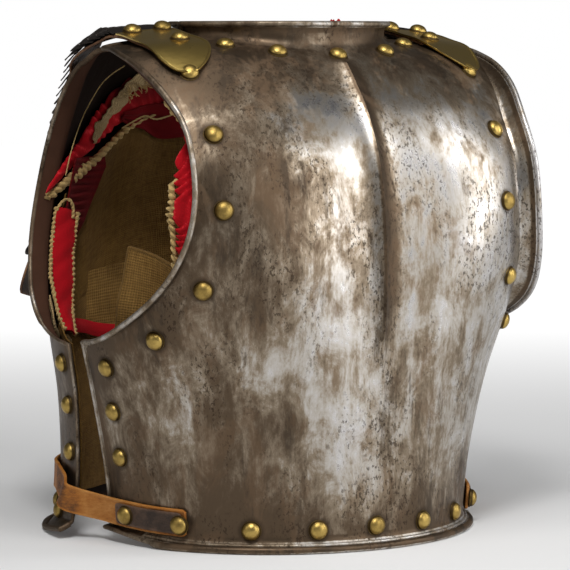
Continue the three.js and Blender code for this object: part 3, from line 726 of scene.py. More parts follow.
BREAST_STEEL = steel_finish("breast_steel", 0.0, True)
BACK_STEEL = steel_finish("back_steel", 0.12, False)
BRASS = brass_finish("rivet_brass", 0.2, 0.27)
PLATE_BRASS = brass_finish("end_plate_brass", -0.25, 0.24)
BELT_LEATHER = leather_finish("belt_leather", (0.33, 0.115, 0.013), (0.085, 0.03, 0.008), (0.46, 0.2, 0.045))
STRAP_LEATHER = leather_finish("strap_leather", (0.13, 0.06, 0.028), (0.05, 0.026, 0.015), (0.22, 0.11, 0.05))
TAB_LEATHER = leather_finish("tab_leather", (0.075, 0.042, 0.026), (0.03, 0.018, 0.012), (0.14, 0.08, 0.05))
SCALE_METAL = scale_finish("scale_metal")
CANVAS = canvas_finish("canvas", 190, (0.32, 0.175, 0.045), (0.1, 0.048, 0.01))
SACKING = canvas_finish("sacking", 125, (0.37, 0.21, 0.06), (0.13, 0.065, 0.016))
RED_WOOL = wool_finish("red_wool", (0.6, 0.006, 0.014), (0.16, 0.002, 0.004))
PALE_CANVAS = canvas_finish("pale_canvas", 190, (0.64, 0.47, 0.24), (0.33, 0.22, 0.1))
TWINE = twine_finish("twine", (0.66, 0.47, 0.2), (0.36, 0.23, 0.085))


# ---- the plates -------------------------------------------------------------------------------------------

PLATE_COLUMNS = 149
EDGE_CROWDING = 1.3  # how the columns gather towards a plate's sides
HEM_CURVE = 1.5
ROWS = dict(hem=10, waist=42, armhole=96, shoulder=16, collar=9)
FLANGE_STEPS = 10
SIDE_LIP = 0.12  # share of the rim that is left as a lip on the sides
MIDDLE_FROM = 0.7  # share of the way to the middle from which the rows are even


def plate_grid(plate):
    """A plate's outer face with its turned hem, collar and armhole rims, rows upwards."""
    s = np.linspace(-1, 1, PLATE_COLUMNS)
    share = 1 + np.sign(s) * np.abs(s) ** EDGE_CROWDING
    waist = np.linspace(0, plate.low, ROWS["waist"], endpoint=False)
    climb = np.linspace(0, 1, ROWS["armhole"])
    neck = np.linspace(plate.top, plate.neck_row, ROWS["shoulder"])[1:]
    side = np.concatenate([waist, mix(plate.low, plate.top, (1 - np.cos(np.pi * climb)) / 2), neck])[:, None]
    middle = np.concatenate([waist, mix(plate.low, plate.top, climb), neck])[:, None]
    edge = edge_angle(plate, side)
    inward = smooth(np.minimum(share, 2 - share) / MIDDLE_FROM)
    body = on_plate(plate, mix(edge, np.pi - edge, share / 2), mix(side, middle, inward))

    def outward(p):
        return unit((p - SHIFT) * (1, 1, 0))

    down = np.linspace(1, 0, ROWS["hem"], endpoint=False)[:, None, None]
    foot = body[:1]
    across = np.abs((foot - SHIFT)[..., 1:2]) / (plate.sections[0, 3] * MM)
    drop = (plate.rise * smooth((HEM_FLAT - across) / HEM_FLAT) - plate.drop) * MM
    hem = foot + outward(foot) * plate.flare * MM * down**HEM_CURVE + drop * down * (0, 0, 1)

    collar = between(COLLAR, np.linspace(0, len(COLLAR) - 1, ROWS["collar"] + 1)[1:])[:, None]
    ring = body[-1:]
    rise = (COLLAR_TOP * MM - ring[..., 2:]) * collar[..., :1]
    collar = ring - outward(ring) * collar[..., 1:] * MM + rise * (0, 0, 1)

    climbed = up_armhole(plate, side)
    stand = mix(SIDE_LIP, 1, smooth(1.2 * np.sqrt(4 * climbed * (1 - climbed))))
    lip = np.full((1, 1), SIDE_LIP)
    shares = np.concatenate([np.repeat(lip, len(hem), 0), stand, np.repeat(lip, len(collar), 0)])
    return with_rims(plate, np.concatenate([hem, body, collar]), shares)


def with_rims(plate, body, shares):
    """Adds the turned rim at both ends of each row, bent from the wall's own direction to its normal."""
    up, along = np.gradient(body, axis=0), np.gradient(body, axis=1)
    normals = unit(np.cross(along, up)) * -plate.facing
    stand = (shares - SIDE_LIP) / (1 - SIDE_LIP)
    steps = np.linspace(0, 1, FLANGE_STEPS + 1)[1:][None, :, None]
    rims = []
    for column, inside in ((0, 1), (-1, -2)):
        away = unit(np.cross(up[:, column], normals[:, column]))
        toward = (away * (body[:, inside] - body[:, column])).sum(-1, keepdims=True)
        away = (away * -np.sign(toward))[:, None]
        turn = plate.turn * MM * np.sqrt(steps) * mix(0.5, 1, stand)[:, None]
        rise = plate.flange * MM * steps * stand[:, None]
        rims.append(body[:, column, None] + away * turn + normals[:, column, None] * rise)
    return np.concatenate([rims[0][:, ::-1], body, rims[1]], 1)


def rolled_edge(piece, radius_at):
    """A round bead along the open border of a sheet, like an edge rolled over a wire."""
    bead = copied(piece, piece.name + "_bead")
    edit(
        bead,
        (bpy.ops.mesh.region_to_loop, {}),
        (bpy.ops.mesh.duplicate, {}),
        (bpy.ops.mesh.separate, dict(type="SELECTED")),
    )
    loop = next(o for o in bpy.context.selected_objects if o != bead)
    bpy.data.objects.remove(bead)
    only(loop)
    bpy.ops.object.convert(target="CURVE")
    loop.data.bevel_depth = MM
    loop.data.bevel_resolution = 3
    loop.data.use_fill_caps = True
    for point in loop.data.splines[0].points:
        point.radius = radius_at(point.co)
        point.co.z = max(point.co.z, point.radius * MM)
    bpy.ops.object.convert(target="MESH")
    return edit(
        only(loop),
        (bpy.ops.mesh.remove_doubles, dict(threshold=1e-7)),
        (bpy.ops.mesh.normals_make_consistent, dict(inside=False)),
    )


def wire(name, centre, size, sides=10, tip=1.0, flat=(0.01, 0.1)):
    """A round wire or thread through places, its far end thinner where tip is under 1."""
    run = unit(np.gradient(centre, axis=0))
    side = unit(np.cross(run, (0.3, 0.2, 1)))
    up = np.cross(run, side)
    a = np.linspace(0, 2 * np.pi, sides, endpoint=False)[None, :, None]
    ring = np.cos(a) * side[:, None] + np.sin(a) * up[:, None]
    taper = np.linspace(1, tip, len(centre))[:, None, None]
    return tube_grid(name, centre[:, None] + ring * size * taper, flat)


HEM_LINE_ROW = 5  # the row of the plate's grid that the raised line follows
HEM_LINE_REACH = 0.15  # how far it goes to each side of the middle, in metres
HEM_LINE_SIZE = 1.7 * MM


def plate_piece(name, plate, bead_radius):
    """A plate walled inwards from its outer sheet, its rolled edge, and the points of its border."""
    places = plate_grid(plate)
    border = np.concatenate([places[0], places[-1], places[:, 0], places[:, -1]])
    sheet = sheet_grid(name, places)
    if plate.facing > 0:
        flipped(sheet)
    bead = rolled_edge(sheet, bead_radius)
    if plate is BREAST:
        rim_line = places[HEM_LINE_ROW][np.abs(places[HEM_LINE_ROW][:, 0]) < HEM_LINE_REACH]
        bead = joined(bead.name, [bead, wire("hem_line", rim_line, HEM_LINE_SIZE)])
        border = np.concatenate([border, rim_line])
    outer = len(sheet.data.vertices)
    walled(sheet, STEEL)
    set_attribute(sheet, "inside", np.arange(len(sheet.data.vertices)) >= outer)
    return sheet, bead, border


def breast_bead(co):
    """The bead's radius in millimetres: thick at the neck and armholes, thickest along the lower rim."""
    if co.z > 0.405:
        return 2.3
    if co.z < 0.012:
        return 3.0 if abs(co.x) < HEM_LINE_REACH else 1.7
    return 2.2 if co.z > 0.16 else 1.5


def back_bead(co):
    """The bead's radius in millimetres, thinner below the armholes' feet."""
    if co.z < 0.012:
        return 2.4
    return 2.2 if co.z > 0.17 else 1.5


breastplate, breast_rim, breast_border = plate_piece("steel_breastplate", BREAST, breast_bead)
backplate, back_rim, back_border_points = plate_piece("steel_backplate", BACK, back_bead)

# ---- rivets -----------------------------------------------------------------------------------------------

RIVET_RADIUS = 8 * MM
# The flange and its groove take the sphere's lowest rings, and the dome all above them.
FLANGE_CLIMB = (0, 9, 18, 27)  # the rings' angles on the sphere
FLANGE_ACROSS = (1, 1, 0.93, 0.9)  # shares of the head's radius
FLANGE_HIGH = (-0.6, 0.4, 0.5, 0.9)  # millimetres over the steel
DOME_HIGH = 5
DARK_CLIMB, DARK_REACH = (0, 9, 18, 27, 45), (1.2, 1.2, 0, 0, 3)  # the brass is darkest where this is 0
BACK_SIDE_RIVETS = [(9.5, 2.5), (9, 1.93), (9, 1.33)]
BACK_RIVETS = (  # t in degrees, w
    [(t, 8.6) for t in (60, 90, 120)]
    + BACK_SIDE_RIVETS
    + [(180 - t, w) for t, w in BACK_SIDE_RIVETS]
    + [(16.5, 0.2), (163.5, 0.2)]
    + [(90 + 18.5 * k, 0.25) for k in range(-3, 4)]
)


def rivet_head():
    """A domed head with a thin flat foot, standing on the ground plane."""
    bpy.ops.mesh.primitive_uv_sphere_add(segments=32, ring_count=20, radius=RIVET_RADIUS)
    cut = dict(plane_co=(0, 0, 0), plane_no=(0, 0, 1), clear_inner=True, use_fill=True)
    head = edit(new_piece("rivet_head"), (bpy.ops.mesh.bisect, cut))
    co = coordinates(head)
    climb = np.arcsin(np.clip(co[:, 2] / RIVET_RADIUS, 0, 1)) / DEGREE
    turn = np.arctan2(co[:, 1], co[:, 0])
    foot, neck = FLANGE_CLIMB[-1], FLANGE_ACROSS[-1]
    dome = np.clip((climb - foot) / (90 - foot), 0, 1) * np.pi / 2
    across = np.where(climb > foot, neck * np.cos(dome), np.interp(climb, FLANGE_CLIMB, FLANGE_ACROSS))
    high = FLANGE_HIGH[-1] + DOME_HIGH * np.sin(dome)
    high = np.where(climb > foot, high, np.interp(climb, FLANGE_CLIMB, FLANGE_HIGH))
    across = np.where(np.hypot(co[:, 0], co[:, 1]) < 1e-6, 0, across) * RIVET_RADIUS
    set_coordinates(head, np.stack([across * np.cos(turn), across * np.sin(turn), high * MM], -1))
    set_attribute(head, "base", np.interp(climb, DARK_CLIMB, DARK_REACH) * MM)
    return head


HEAD = rivet_head()


def rivet_on(under, point):
    """A rivet's head on the place of a piece nearest to a point, and that place."""
    _, foot, normal, _ = under.closest_point_on_mesh(point)
    rivet = copied(HEAD, "rivet")
    rivet.data.transform(Vector((0, 0, 1)).rotation_difference(normal).to_matrix().to_4x4())
    rivet.data.transform(Matrix.Translation(foot))
    return rivet, foot


def middle(node):
    low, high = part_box(node)
    return (low + high) / 2


nodes = list(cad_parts)
feet = {"breast": [], "back": []}
rivet_rows = {}
for row in ("neck", "armhole", "side", "belt", "hem"):
    names = [n for n in nodes if f"{row}_rivet" in n]
    made = [rivet_on(breastplate, middle(n)) for n in names]
    feet["breast"] += [foot for _, foot in made]
    rivet_rows[row] = ([rivet for rivet, _ in made], names)
back_rivets = []
for degrees, w in BACK_RIVETS:
    spot = Vector(on_plate(BACK, np.array(degrees * DEGREE), np.array(w)))
    rivet, foot = rivet_on(backplate, spot)
    back_rivets.append(rivet)
    feet["back"].append(foot)

for sheet, rim, border, side, steel, node in (
    (breastplate, breast_rim, breast_border, "breast", BREAST_STEEL, "breastplate"),
    (backplate, back_rim, back_border_points, "back", BACK_STEEL, "backplate"),
):
    whole = joined(sheet.name, [sheet, rim])
    set_coordinates(whole, np.maximum(coordinates(whole), (-1, -1, 0)))  # nothing below the floor
    set_attribute(whole, "border", nearest(whole, border))
    set_attribute(whole, "rivet", nearest(whole, feet[side]))
    finished(whole, steel, [node])

# ---- shoulder straps --------------------------------------------------------------------------------------

STRAP_X = 125
STRAP_WIDTH = 45 * MM
STRAP_THICK = 2.2 * MM
STRAP_OVER = [  # y, lift, sag
    (-88, 0.8, 0.4),
    (-60, 0.8, 0.6),
    (-32, 1.8, 0.6),
    (-3, 4.6, 0.4),
    (26, 4.8, 0.8),
]
STRAP_DOWN = [  # t, w, lift, sag
    (33, 7.55, 7, 1.5),
    (38, 6.9, 8, 1.6),
    (42, 6, 9, 1.8),
    (44, 5, 7, 1.8),
    (44, 4.1, 6, 1.8),
    (42, 3.3, 24, 1.4),
]


def strap_line():
    stations = []
    for y, lift, sag in STRAP_OVER:
        plate = BREAST if y < 0 else BACK
        stations.append((plate, *place_over(plate, -STRAP_X, y), lift, sag))
    for t, w, lift, sag in STRAP_DOWN:
        stations.append((BACK, t * DEGREE, w, lift, sag))
    return line_on(stations, 240, STRAP_WIDTH)


STRAP = strap_line()


def end_curve(distance, size, amount):
    """The share of a band's width at a distance from an end that is rounded over a size."""
    return 1 - amount * (1 - np.sqrt(1 - (1 - np.clip(distance / size, 0, 1)) ** 2))


def softened_band(piece, thick, edge, segments=3):
    """Gives a flat band its thickness and soft edges."""
    walled(piece, thick, 1)
    return apply(piece, "BEVEL", width=edge, segments=segments, limit_method="ANGLE")


STRAP_FROM = 0.11  # share of the line's stations, under the end plate
STRAP_END = 22 * MM


def leather_strap():
    bpy.ops.mesh.primitive_grid_add(x_subdivisions=10, y_subdivisions=120, size=1)
    strap = new_piece("leather_strap")
    co = coordinates(strap)
    first = STRAP.reach(STRAP_FROM)
    long = STRAP.length - first
    y = (co[:, 1] + 0.5) * long
    x = co[:, 0] * STRAP_WIDTH * end_curve(long - y, STRAP_END, STRAP_END / STRAP_WIDTH)
    set_coordinates(strap, np.stack([x, y + first, 0 * x], -1))
    set_attribute(strap, "border", np.minimum(STRAP_WIDTH / 2 - np.abs(x), long - y))
    softened_band(strap, STRAP_THICK, STRAP_THICK * 0.3)
    lay(strap, STRAP)
    return strap


both_sides(leather_strap(), "leather_strap", STRAP_LEATHER, "strap")

SCALE_COUNT = 27
SCALE_LONG = 17 * MM
SCALE_LIFT = 3.6 * MM
SCALE_FROM, SCALE_TO = 0.33, 0.93  # shares of the strap line's stations


def strap_scale():
    """One scale, a thin arched plate whose lower edge has three lobes, tilted to lie on the next."""
    bpy.ops.mesh.primitive_grid_add(x_subdivisions=36, y_subdivisions=8, size=1)
    scale = new_piece("scale")
    co = coordinates(scale)
    lobes = np.abs(np.sin((co[:, 0] + 0.5) * 3 * math.pi)) ** 0.6
    down = co[:, 1] + 0.5
    x = co[:, 0] * (STRAP_WIDTH + 1 * MM)
    y = down * SCALE_LONG * (0.8 + 0.2 * lobes)
    z = (down**1.2) * SCALE_LIFT + 0.5 * MM * lobes * down
    set_coordinates(scale, np.stack([x, y, z], -1))
    set_attribute(scale, "border", (1 - down) * SCALE_LONG)
    walled(scale, 0.9 * MM, 1)
    return scale


def strap_scales():
    """The row of scales on a strap, each overlapping the next."""
    one = strap_scale()
    first, last = STRAP.reach(SCALE_FROM), STRAP.reach(SCALE_TO)
    scales = []
    for i in range(SCALE_COUNT):
        scale = copied(one, "scale")
        set_coordinates(scale, coordinates(scale) + (0, 0, STRAP_THICK + 0.8 * MM))
        lay(scale, STRAP, first + (last - first) * i / SCALE_COUNT - 2 * MM)
        scales.append(scale)
    bpy.data.objects.remove(one)
    return joined("strap_scales", scales)


both_sides(strap_scales(), "strap_scales", SCALE_METAL, "scales")

END_PLATE_THICK = 1.4 * MM
END_PLATE_TO = 0.3
END_PLATE_WIDE = 50 * MM
END_TONGUE = 0.42  # share of the plate's length that its rounded front takes
END_RIM = 1.7 * MM
END_OUTER = -1  # the side of the strap that the armhole is on


def end_plate():
    """The tongue-shaped brass plate over the strap's end, with a narrow raised border."""
    long = STRAP.reach(END_PLATE_TO)
    bpy.ops.mesh.primitive_grid_add(x_subdivisions=44, y_subdivisions=90, size=1)
    piece = new_piece("end_plate_brass")
    co = coordinates(piece)
    along = (co[:, 1] + 0.5) ** 1.2
    ahead = np.clip(1 - along / END_TONGUE, 0, 1)
    corner = np.where(co[:, 0] * END_OUTER > 0, 0.3, 0.8)
    wide = END_PLATE_WIDE / 2 * np.maximum((1 - ahead**2) ** corner, 0.05)
    flat = np.stack([np.sin(co[:, 0] * np.pi) * wide, along * long, 0 * wide], -1)
    set_coordinates(piece, flat)
    rim = smooth(2 - 2 * nearest(piece, flat[np.abs(co[:, :2]).max(1) > 0.499]) / END_RIM)
    flat[:, 2] = 0.7 * MM * rim + STRAP_THICK + 0.4 * MM
    set_coordinates(piece, flat)
    set_attribute(piece, "base", 0.003)
    set_attribute(piece, "rubbed", rim)
    softened_band(piece, END_PLATE_THICK, 0.25 * MM, 2)
    lay(piece, STRAP)
    return piece


end_rivets = []
end_plates = both_sides(end_plate(), "end_plate_brass", PLATE_BRASS, "end_plate")
for side, brass in zip(("right", "left"), end_plates):
    spots = [middle(f"{side}_end_rivet_{i}") + Vector((0, 0, 0.004)) for i in (1, 2, 3)]
    end_rivets += [rivet_on(brass, spot)[0] for spot in spots]
rivet_rows["end"] = (end_rivets, [n for n in nodes if "end_rivet" in n])

# ---- belt -------------------------------------------------------------------------------------------------

BELT_WIDTH = 22 * MM
BELT_THICK = 3 * MM
BELT_STATIONS = [  # plate, t, w, lift
    (BREAST, 33, 0.29, 1.5),
    (BREAST, 22, 0.31, 1.5),
    (BREAST, 11, 0.34, 1.5),
    (BREAST, 3, 0.38, 4),
    (BACK, 5, 0.6, 7),
    (BACK, 10, 0.78, 4.6),
    (BACK, 17, 0.88, 2.8),
    (BACK, 30, 0.9, 2.6),
    (BACK, 50, 0.9, 2.6),
    (BACK, 70, 0.9, 2.6),
    (BACK, 84, 0.9, 2.6),
]
BELT = line_on([(p, t * DEGREE, w, lift, 0) for p, t, w, lift in BELT_STATIONS], 300, BELT_WIDTH)
TAB_SHARE = 0.24
TAB_WIDTH = 17 * MM
END_ROUND = 5 * MM
BUCKLE_BAR = 4 * MM


def belt_half():
    """The right half of the belt, with a raised edge, rounded at its tab."""
    bpy.ops.mesh.primitive_grid_add(x_subdivisions=12, y_subdivisions=160, size=1)
    belt = new_piece("leather_belt")
    co = coordinates(belt)
    y = (co[:, 1] + 0.5) * BELT.length
    x = co[:, 0] * BELT_WIDTH * end_curve(y, END_ROUND, 0.2)
    border = np.minimum(BELT_WIDTH / 2 - np.abs(x), y)
    z = 0.4 * MM * smooth(1 - border / (2.5 * MM)) + 0.25 * MM * wobble(y * 90, 3)
    set_coordinates(belt, np.stack([x, y, z], -1))
    set_attribute(belt, "border", border)
    softened_band(belt, BELT_THICK - 0.6 * MM, 0.5 * MM)
    lay(belt, BELT)
    return belt


def tab_layer():
    """The darker layer of leather on the belt's riveted tab, rounded at both ends."""
    bpy.ops.mesh.primitive_grid_add(x_subdivisions=10, y_subdivisions=60, size=1)
    tab = new_piece("tab_layer")
    co = coordinates(tab)
    long = BELT.reach(TAB_SHARE)
    y = (co[:, 1] + 0.5) * long
    ends = np.minimum(y, long - y)
    x = co[:, 0] * TAB_WIDTH * end_curve(ends, END_ROUND, 0.35)
    set_coordinates(tab, np.stack([x, y + 3 * MM, 0 * x + BELT_THICK - 0.3 * MM], -1))
    set_attribute(tab, "border", np.minimum(TAB_WIDTH / 2 - np.abs(x), ends))
    softened_band(tab, 1.4 * MM, 0.6 * MM)
    lay(tab, BELT)
    return tab


def belt_buckle():
    """A square brass frame with a middle bar, cut from a plane by insets, and a prong."""
    low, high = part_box("buckle")
    size, centre = high - low, np.array(middle("buckle"))
    bpy.ops.mesh.primitive_grid_add(x_subdivisions=2, y_subdivisions=1, size=1)
    buckle = new_piece("brass_buckle")
    set_coordinates(buckle, coordinates(buckle) * (size.x, size.z, 1))
    inset = dict(thickness=BUCKLE_BAR, use_individual=True)
    edit(buckle, (bpy.ops.mesh.inset, inset), (bpy.ops.mesh.delete, dict(type="FACE")))
    x, z, _ = coordinates(buckle).T
    set_coordinates(buckle, np.stack([x, 0 * x, z], -1) + centre)
    walled(buckle, size.y * 0.9, 0)
    apply(buckle, "BEVEL", width=1.2 * MM, segments=4, limit_method="ANGLE")
    share = np.linspace(0, 1, 16)
    out = size.y * 0.6 + 0.8 * MM * np.sin(np.pi * share)
    prong = centre + np.stack([-share * (size.x / 2 - 1 * MM), out, 0 * share], -1)
    buckle = joined("brass_buckle", [buckle, wire("buckle_prong", prong, 1.5 * MM)])
    set_attribute(buckle, "base", 0.002)
    return finished(buckle, PLATE_BRASS, ["buckle"])


both_sides(belt_half(), "leather_belt", BELT_LEATHER, "belt")
tab, left_tab = both_sides(tab_layer(), "tab_layer", TAB_LEATHER, "belt_tab")
belt_rivets, belt_names = rivet_rows["belt"]
for rivet in belt_rivets:
    bpy.data.objects.remove(rivet)
on_tabs = [rivet_on(tab if n.startswith("right") else left_tab, middle(n))[0] for n in belt_names]
rivet_rows["belt"] = (on_tabs, belt_names)
belt_buckle()

for row, (made, names) in rivet_rows.items():
    finished(joined(f"{row}_rivet_heads", made), BRASS, names)
finished(joined("back_rivet_heads", back_rivets), BRASS)
bpy.data.objects.remove(HEAD)

# ---- linings ----------------------------------------------------------------------------------------------


class Lining:
    """A canvas lining inside a plate, from height place low up to an edge that climbs from side to mid."""

    def __init__(self, plate, side, mid, margin, depth, folds, deep, slack, rise=1):
        self.plate, self.low, self.side, self.mid, self.rise = plate, 0.4, side, mid, rise
        self.margin, self.depth = margin * DEGREE, depth
        self.folds, self.deep, self.slack = folds, deep, slack

    def at(self, up, turn, extra=0.0):
        """Places and inward normals. up goes from 0 at the lower edge to 1 at the upper, and turn from 0 at
        the right to 2 at the left."""
        inward = np.sin(np.pi * turn / 2) ** self.rise
        w = mix(self.low, mix(self.side, self.mid, inward), up)
        edge = edge_angle(self.plate, mix(self.low, self.side, up)) + self.margin
        t = mix(edge, np.pi - edge, turn / 2)
        fold = self.deep * (1 - np.cos(2 * self.folds * t))
        depth = self.depth + fold + self.slack * up**3 + extra
        normal = -normal_of(self.plate, t, w)
        return on_plate(self.plate, t, w) + normal * depth[..., None] * MM, normal

    def edge(self, count, fine):
        """The lining's edge from its right armpit over its top to its left armpit, its direction across
        pointing away from the cloth."""
        climb = 0.3
        share = np.linspace(0, 1, count + 1)
        s = np.minimum(share, 1 - share)
        up = mix(self.plate.low / self.side, 1, np.minimum(1, s / climb))
        right = np.where(s < climb, 0, (s - climb) / (0.5 - climb))
        points, normals = self.at(up, np.where(share < 0.5, right, 2 - right))
        points, normals = (softened(rows) for rows in (points, normals))
        return Line(points, normals, fine, flip=-self.plate.facing)


def softened(rows):
    before = np.concatenate([rows[:1], rows[:-1]])
    after = np.concatenate([rows[1:], rows[-1:]])
    return (2 * rows + before + after) / 4


CLOTH_THICK = 1.1 * MM
BREAST_LINING = Lining(BREAST, 6.6, 6.9, 5, 5, 5, 1, 3)
BACK_LINING = Lining(BACK, 4.6, 5.95, 3, 6, 5, 1.4, 3, rise=2)


def lining_piece(name, lining, flat, seed):
    rows, columns = 130, 190
    up = np.linspace(0, 1, rows)[:, None]
    turn = np.linspace(0, 2, columns)[None, :]
    creases = 0.9 * wobble(turn * 14 + 0.6 * up, seed) + 0.5 * wobble(turn * 5 + up * 9, seed + 1)
    places, _ = lining.at(up + 0 * turn, turn + 0 * up, creases + 0.8)
    piece = sheet_grid(name, places, flat)
    if lining.plate.facing < 0:
        flipped(piece)
    return walled(piece, CLOTH_THICK)


breast_cloth = lining_piece("breast_canvas", BREAST_LINING, (0.47, 0.34), 11)
back_cloth = lining_piece("back_canvas", BACK_LINING, (0.52, 0.33), 21)
finished(breast_cloth, CANVAS, ["breast_lining"])
finished(back_cloth, CANVAS, ["back_lining"])


def inside(plate, t, w, depth):
    """Places so many millimetres inside a plate, t in degrees."""
    return on_plate(plate, t * DEGREE, w) - normal_of(plate, t * DEGREE, w) * depth[..., None] * MM


def cloth_patch(name, plate, corners, depth, flat, seed, hem_size=0.0):
    """A patch of coarse sacking inside a plate, between four corners (t, w), right to left and then bottom to
    top, with a turned and stitched hem if that has a size."""
    j, i = np.linspace(0, 1, 44)[None, :], np.linspace(0, 1, 44)[:, None]
    (a, b), (c, d) = (np.array(pair, float) for pair in corners)
    t, w = (mix(mix(a[k], b[k], j), mix(c[k], d[k], j), i) for k in (0, 1))
    depths = depth + 5 * np.sin(np.pi * j) + 0.6 * wobble(6 * i + 3 * j, seed)
    piece = sheet_grid(name, inside(plate, t, w, depths), flat)
    if plate.facing < 0:
        flipped(piece)
    hems = [rolled_edge(piece, lambda co: hem_size)] if hem_size else []
    walled(piece, 1.2 * MM)
    return joined(name, [piece, *hems])


FLAP_CORNERS = (((10, 2.75), (42, 2.62)), ((20, 3.92), (41, 3.62)))
PATCH_CORNERS = (((55, 2.55), (82, 2.55)), ((57, 3.5), (80, 3.62)))
one_flap = cloth_patch("sacking_flap", BREAST, FLAP_CORNERS, 17, (0.07, 0.08), 31, 1.5)
flap, left_flap = both_sides(one_flap, "sacking_flap", SACKING, "lining_flap")
one_patch = cloth_patch("sacking_patch", BACK, PATCH_CORNERS, 9, (0.075, 0.065), 33)
patch, left_patch = both_sides(one_patch, "sacking_patch", SACKING)


def inner_line(stations, count, both=False):
    """A line inside the backplate through stations (t, w, depth), from the wearer's right. With both, it goes
    on in mirror image to the left. Its direction across points up, away from the cloth below it."""
    rows = list(stations)
    if both:
        rows += [(180 - t, w, depth) for t, w, depth in reversed(stations[:-1])]
    t, w, depth = np.array(rows, float).T
    return Line(inside(BACK, t, w, depth), -normal_of(BACK, t * DEGREE, w), count, flip=-BACK.facing)


def flat_cloth(name, places, flat, thick, fold=None):
    """A flat piece of cloth through places. fold, one number or one for each place, sets how its wool is
    painted: higher values lighter, with a pale painted highlight near 1, and values below zero dark, as
    painted shade."""
    piece = walled(sheet_grid(name, places, flat), thick, 0)
    if fold is not None:
        set_attribute(piece, "fold", np.tile(np.broadcast_to(fold, places.shape[:2]).ravel(), 2))
    return piece


def cloth_strip(name, line, cuts, shape, flat, thick, fold=None):
    """A strip of cloth along a line. shape gives its places across and over the line, in millimetres, from
    the distance along it, in metres, and the share of the way across."""
    along = np.linspace(0, 1, cuts[0])[:, None] * line.length
    a = np.linspace(0, 1, cuts[1])[None, :]
    x, z = shape(along, a)
    return flat_cloth(name, line.at(x * MM, along + 0 * a, z * MM), flat, thick, fold)


def pleat_swell(phase):
    """The height of pleats that swell and drop sharply onto the next, from 0 to 1."""
    part = phase - np.floor(phase)
    return np.minimum(part / 0.62, 1) ** 0.6 * np.where(part > 0.62, 1 - ((part - 0.62) / 0.38) ** 1.6, 1)


def at_share(given, share):
    """A number, or what a function gives for the shares of a length."""
    return given(share) if callable(given) else given


def stuffed_border(name, line, offset, wide, thick, pleats, gather, lean, flat, seed):
    """A stuffed cloth border beside a line. offset, wide and thick are numbers or functions of the share of
    its length. The pleats lean across the border."""
    around, rows = 32, max(200, pleats * 10)
    a = np.linspace(0, 2 * np.pi, around, endpoint=False)[None, :]
    share = np.linspace(0, 1, rows)[:, None]
    along = share * line.length
    offset, wide, thick = (at_share(given, share) for given in (offset, wide, thick))
    swell = pleat_swell(share * pleats + lean * np.cos(a) + 0.6 * wobble(along * 60, seed))
    size = 1 - gather * (1 - swell)
    ends = np.sqrt(np.clip(np.minimum(along, line.length - along) / (6 * MM), 0.02, 1))
    x = (offset + wide / 2 * (1 + ends * size * np.cos(a))) * MM
    z = ends * size * thick / 2 * (1 + 0.12 * wobble(along * 40, seed + 1)) * np.sin(a) * MM
    piece = tube_grid(name, line.at(x, along + 0 * a, z), flat)
    # The fold attribute paints the wool lighter on the pleats' crests and darker in their hollows, as painted
    # highlight and painted shade.
    set_ring_attribute(piece, "fold", swell)
    return piece


STRANDS = 2
RINGS_A_TURN = 12


def twisted_cord(name, line, radius, offset, depth, pitch, knotted, seed):
    """A cord beside a line, its strands wound round each other, lumpy where it is knotted. radius, offset and
    depth are numbers or functions of the share of its length."""
    a = np.linspace(0, 2 * np.pi, 8 * STRANDS, endpoint=False)[None, :]
    share = np.linspace(0, 1, int(line.length / (pitch * MM) * RINGS_A_TURN))[:, None]
    along = share * line.length
    radius, offset, depth = (at_share(given, share) for given in (radius, offset, depth))
    turn = along / (pitch * MM) * 2 * np.pi / STRANDS
    strand = np.abs(np.cos((a - turn) * STRANDS / 2))
    knots = np.abs(np.sin(along / (pitch * 0.9 * MM) * np.pi + 0.8 * wobble(along * 50, seed + 4)))
    lump = 1 + knotted * (knots - 0.5) * (1 + 0.4 * wobble(along * 70, seed))
    size = radius * (0.66 + 0.34 * strand) * lump * (1 + 0.06 * wobble(along * 200, seed + 1))
    x = offset + size * np.cos(a) + 0.12 * radius * wobble(along * 90, seed + 2)
    z = depth + size * np.sin(a) + 0.12 * radius * wobble(along * 75, seed + 3)
    piece = tube_grid(name, line.at(x * MM, along + 0 * a, z * MM), (0.02, line.length))
    # groove marks where painted shade falls between the strands.
    set_ring_attribute(piece, "groove", (1 - strand) ** 2)
    return piece


def table(*rows):
    """A function of a share through rows (share, value)."""
    at, value = np.array(rows, float).T
    return lambda share: np.interp(share, at, value)


def mirrored_table(*rows):
    """A function of a share through rows from 0 to 0.5 that runs back again from 0.5 to 1."""
    half = table(*rows)
    return lambda share: half(np.minimum(share, 1 - share))


# The breast's ruffle stands out past the armhole's rim at the middle of its height and hides behind it
# elsewhere, with a cord along its free edge.
RUFFLE_LINE = BREAST_LINING.edge(60, 700)
SHOWING = ((0, -26), (0.06, -22), (0.1, -7), (0.14, 1))  # share of the edge, how far out
RUFFLE_OUT = mirrored_table(*SHOWING, (0.19, 1), (0.215, -3), (0.235, -12), (0.26, -26), (0.5, -27))
CORD_OUT = mirrored_table(*SHOWING, (0.185, 1), (0.2, -10), (0.22, -26), (0.5, -27))
ruffle_line = RUFFLE_LINE.raised(4.5)
ruffle = stuffed_border(
    "breast_red_ruffle", ruffle_line, lambda share: 2.2 + RUFFLE_OUT(share), 27, 10, 62, 0.42, 1.1,
    (0.07, 1.6), 41,
)
breast_cord = twisted_cord(
    "breast_edging_cord", RUFFLE_LINE, 2.8, lambda share: 30.5 + CORD_OUT(share), 7, 8, 0.7, 61
)

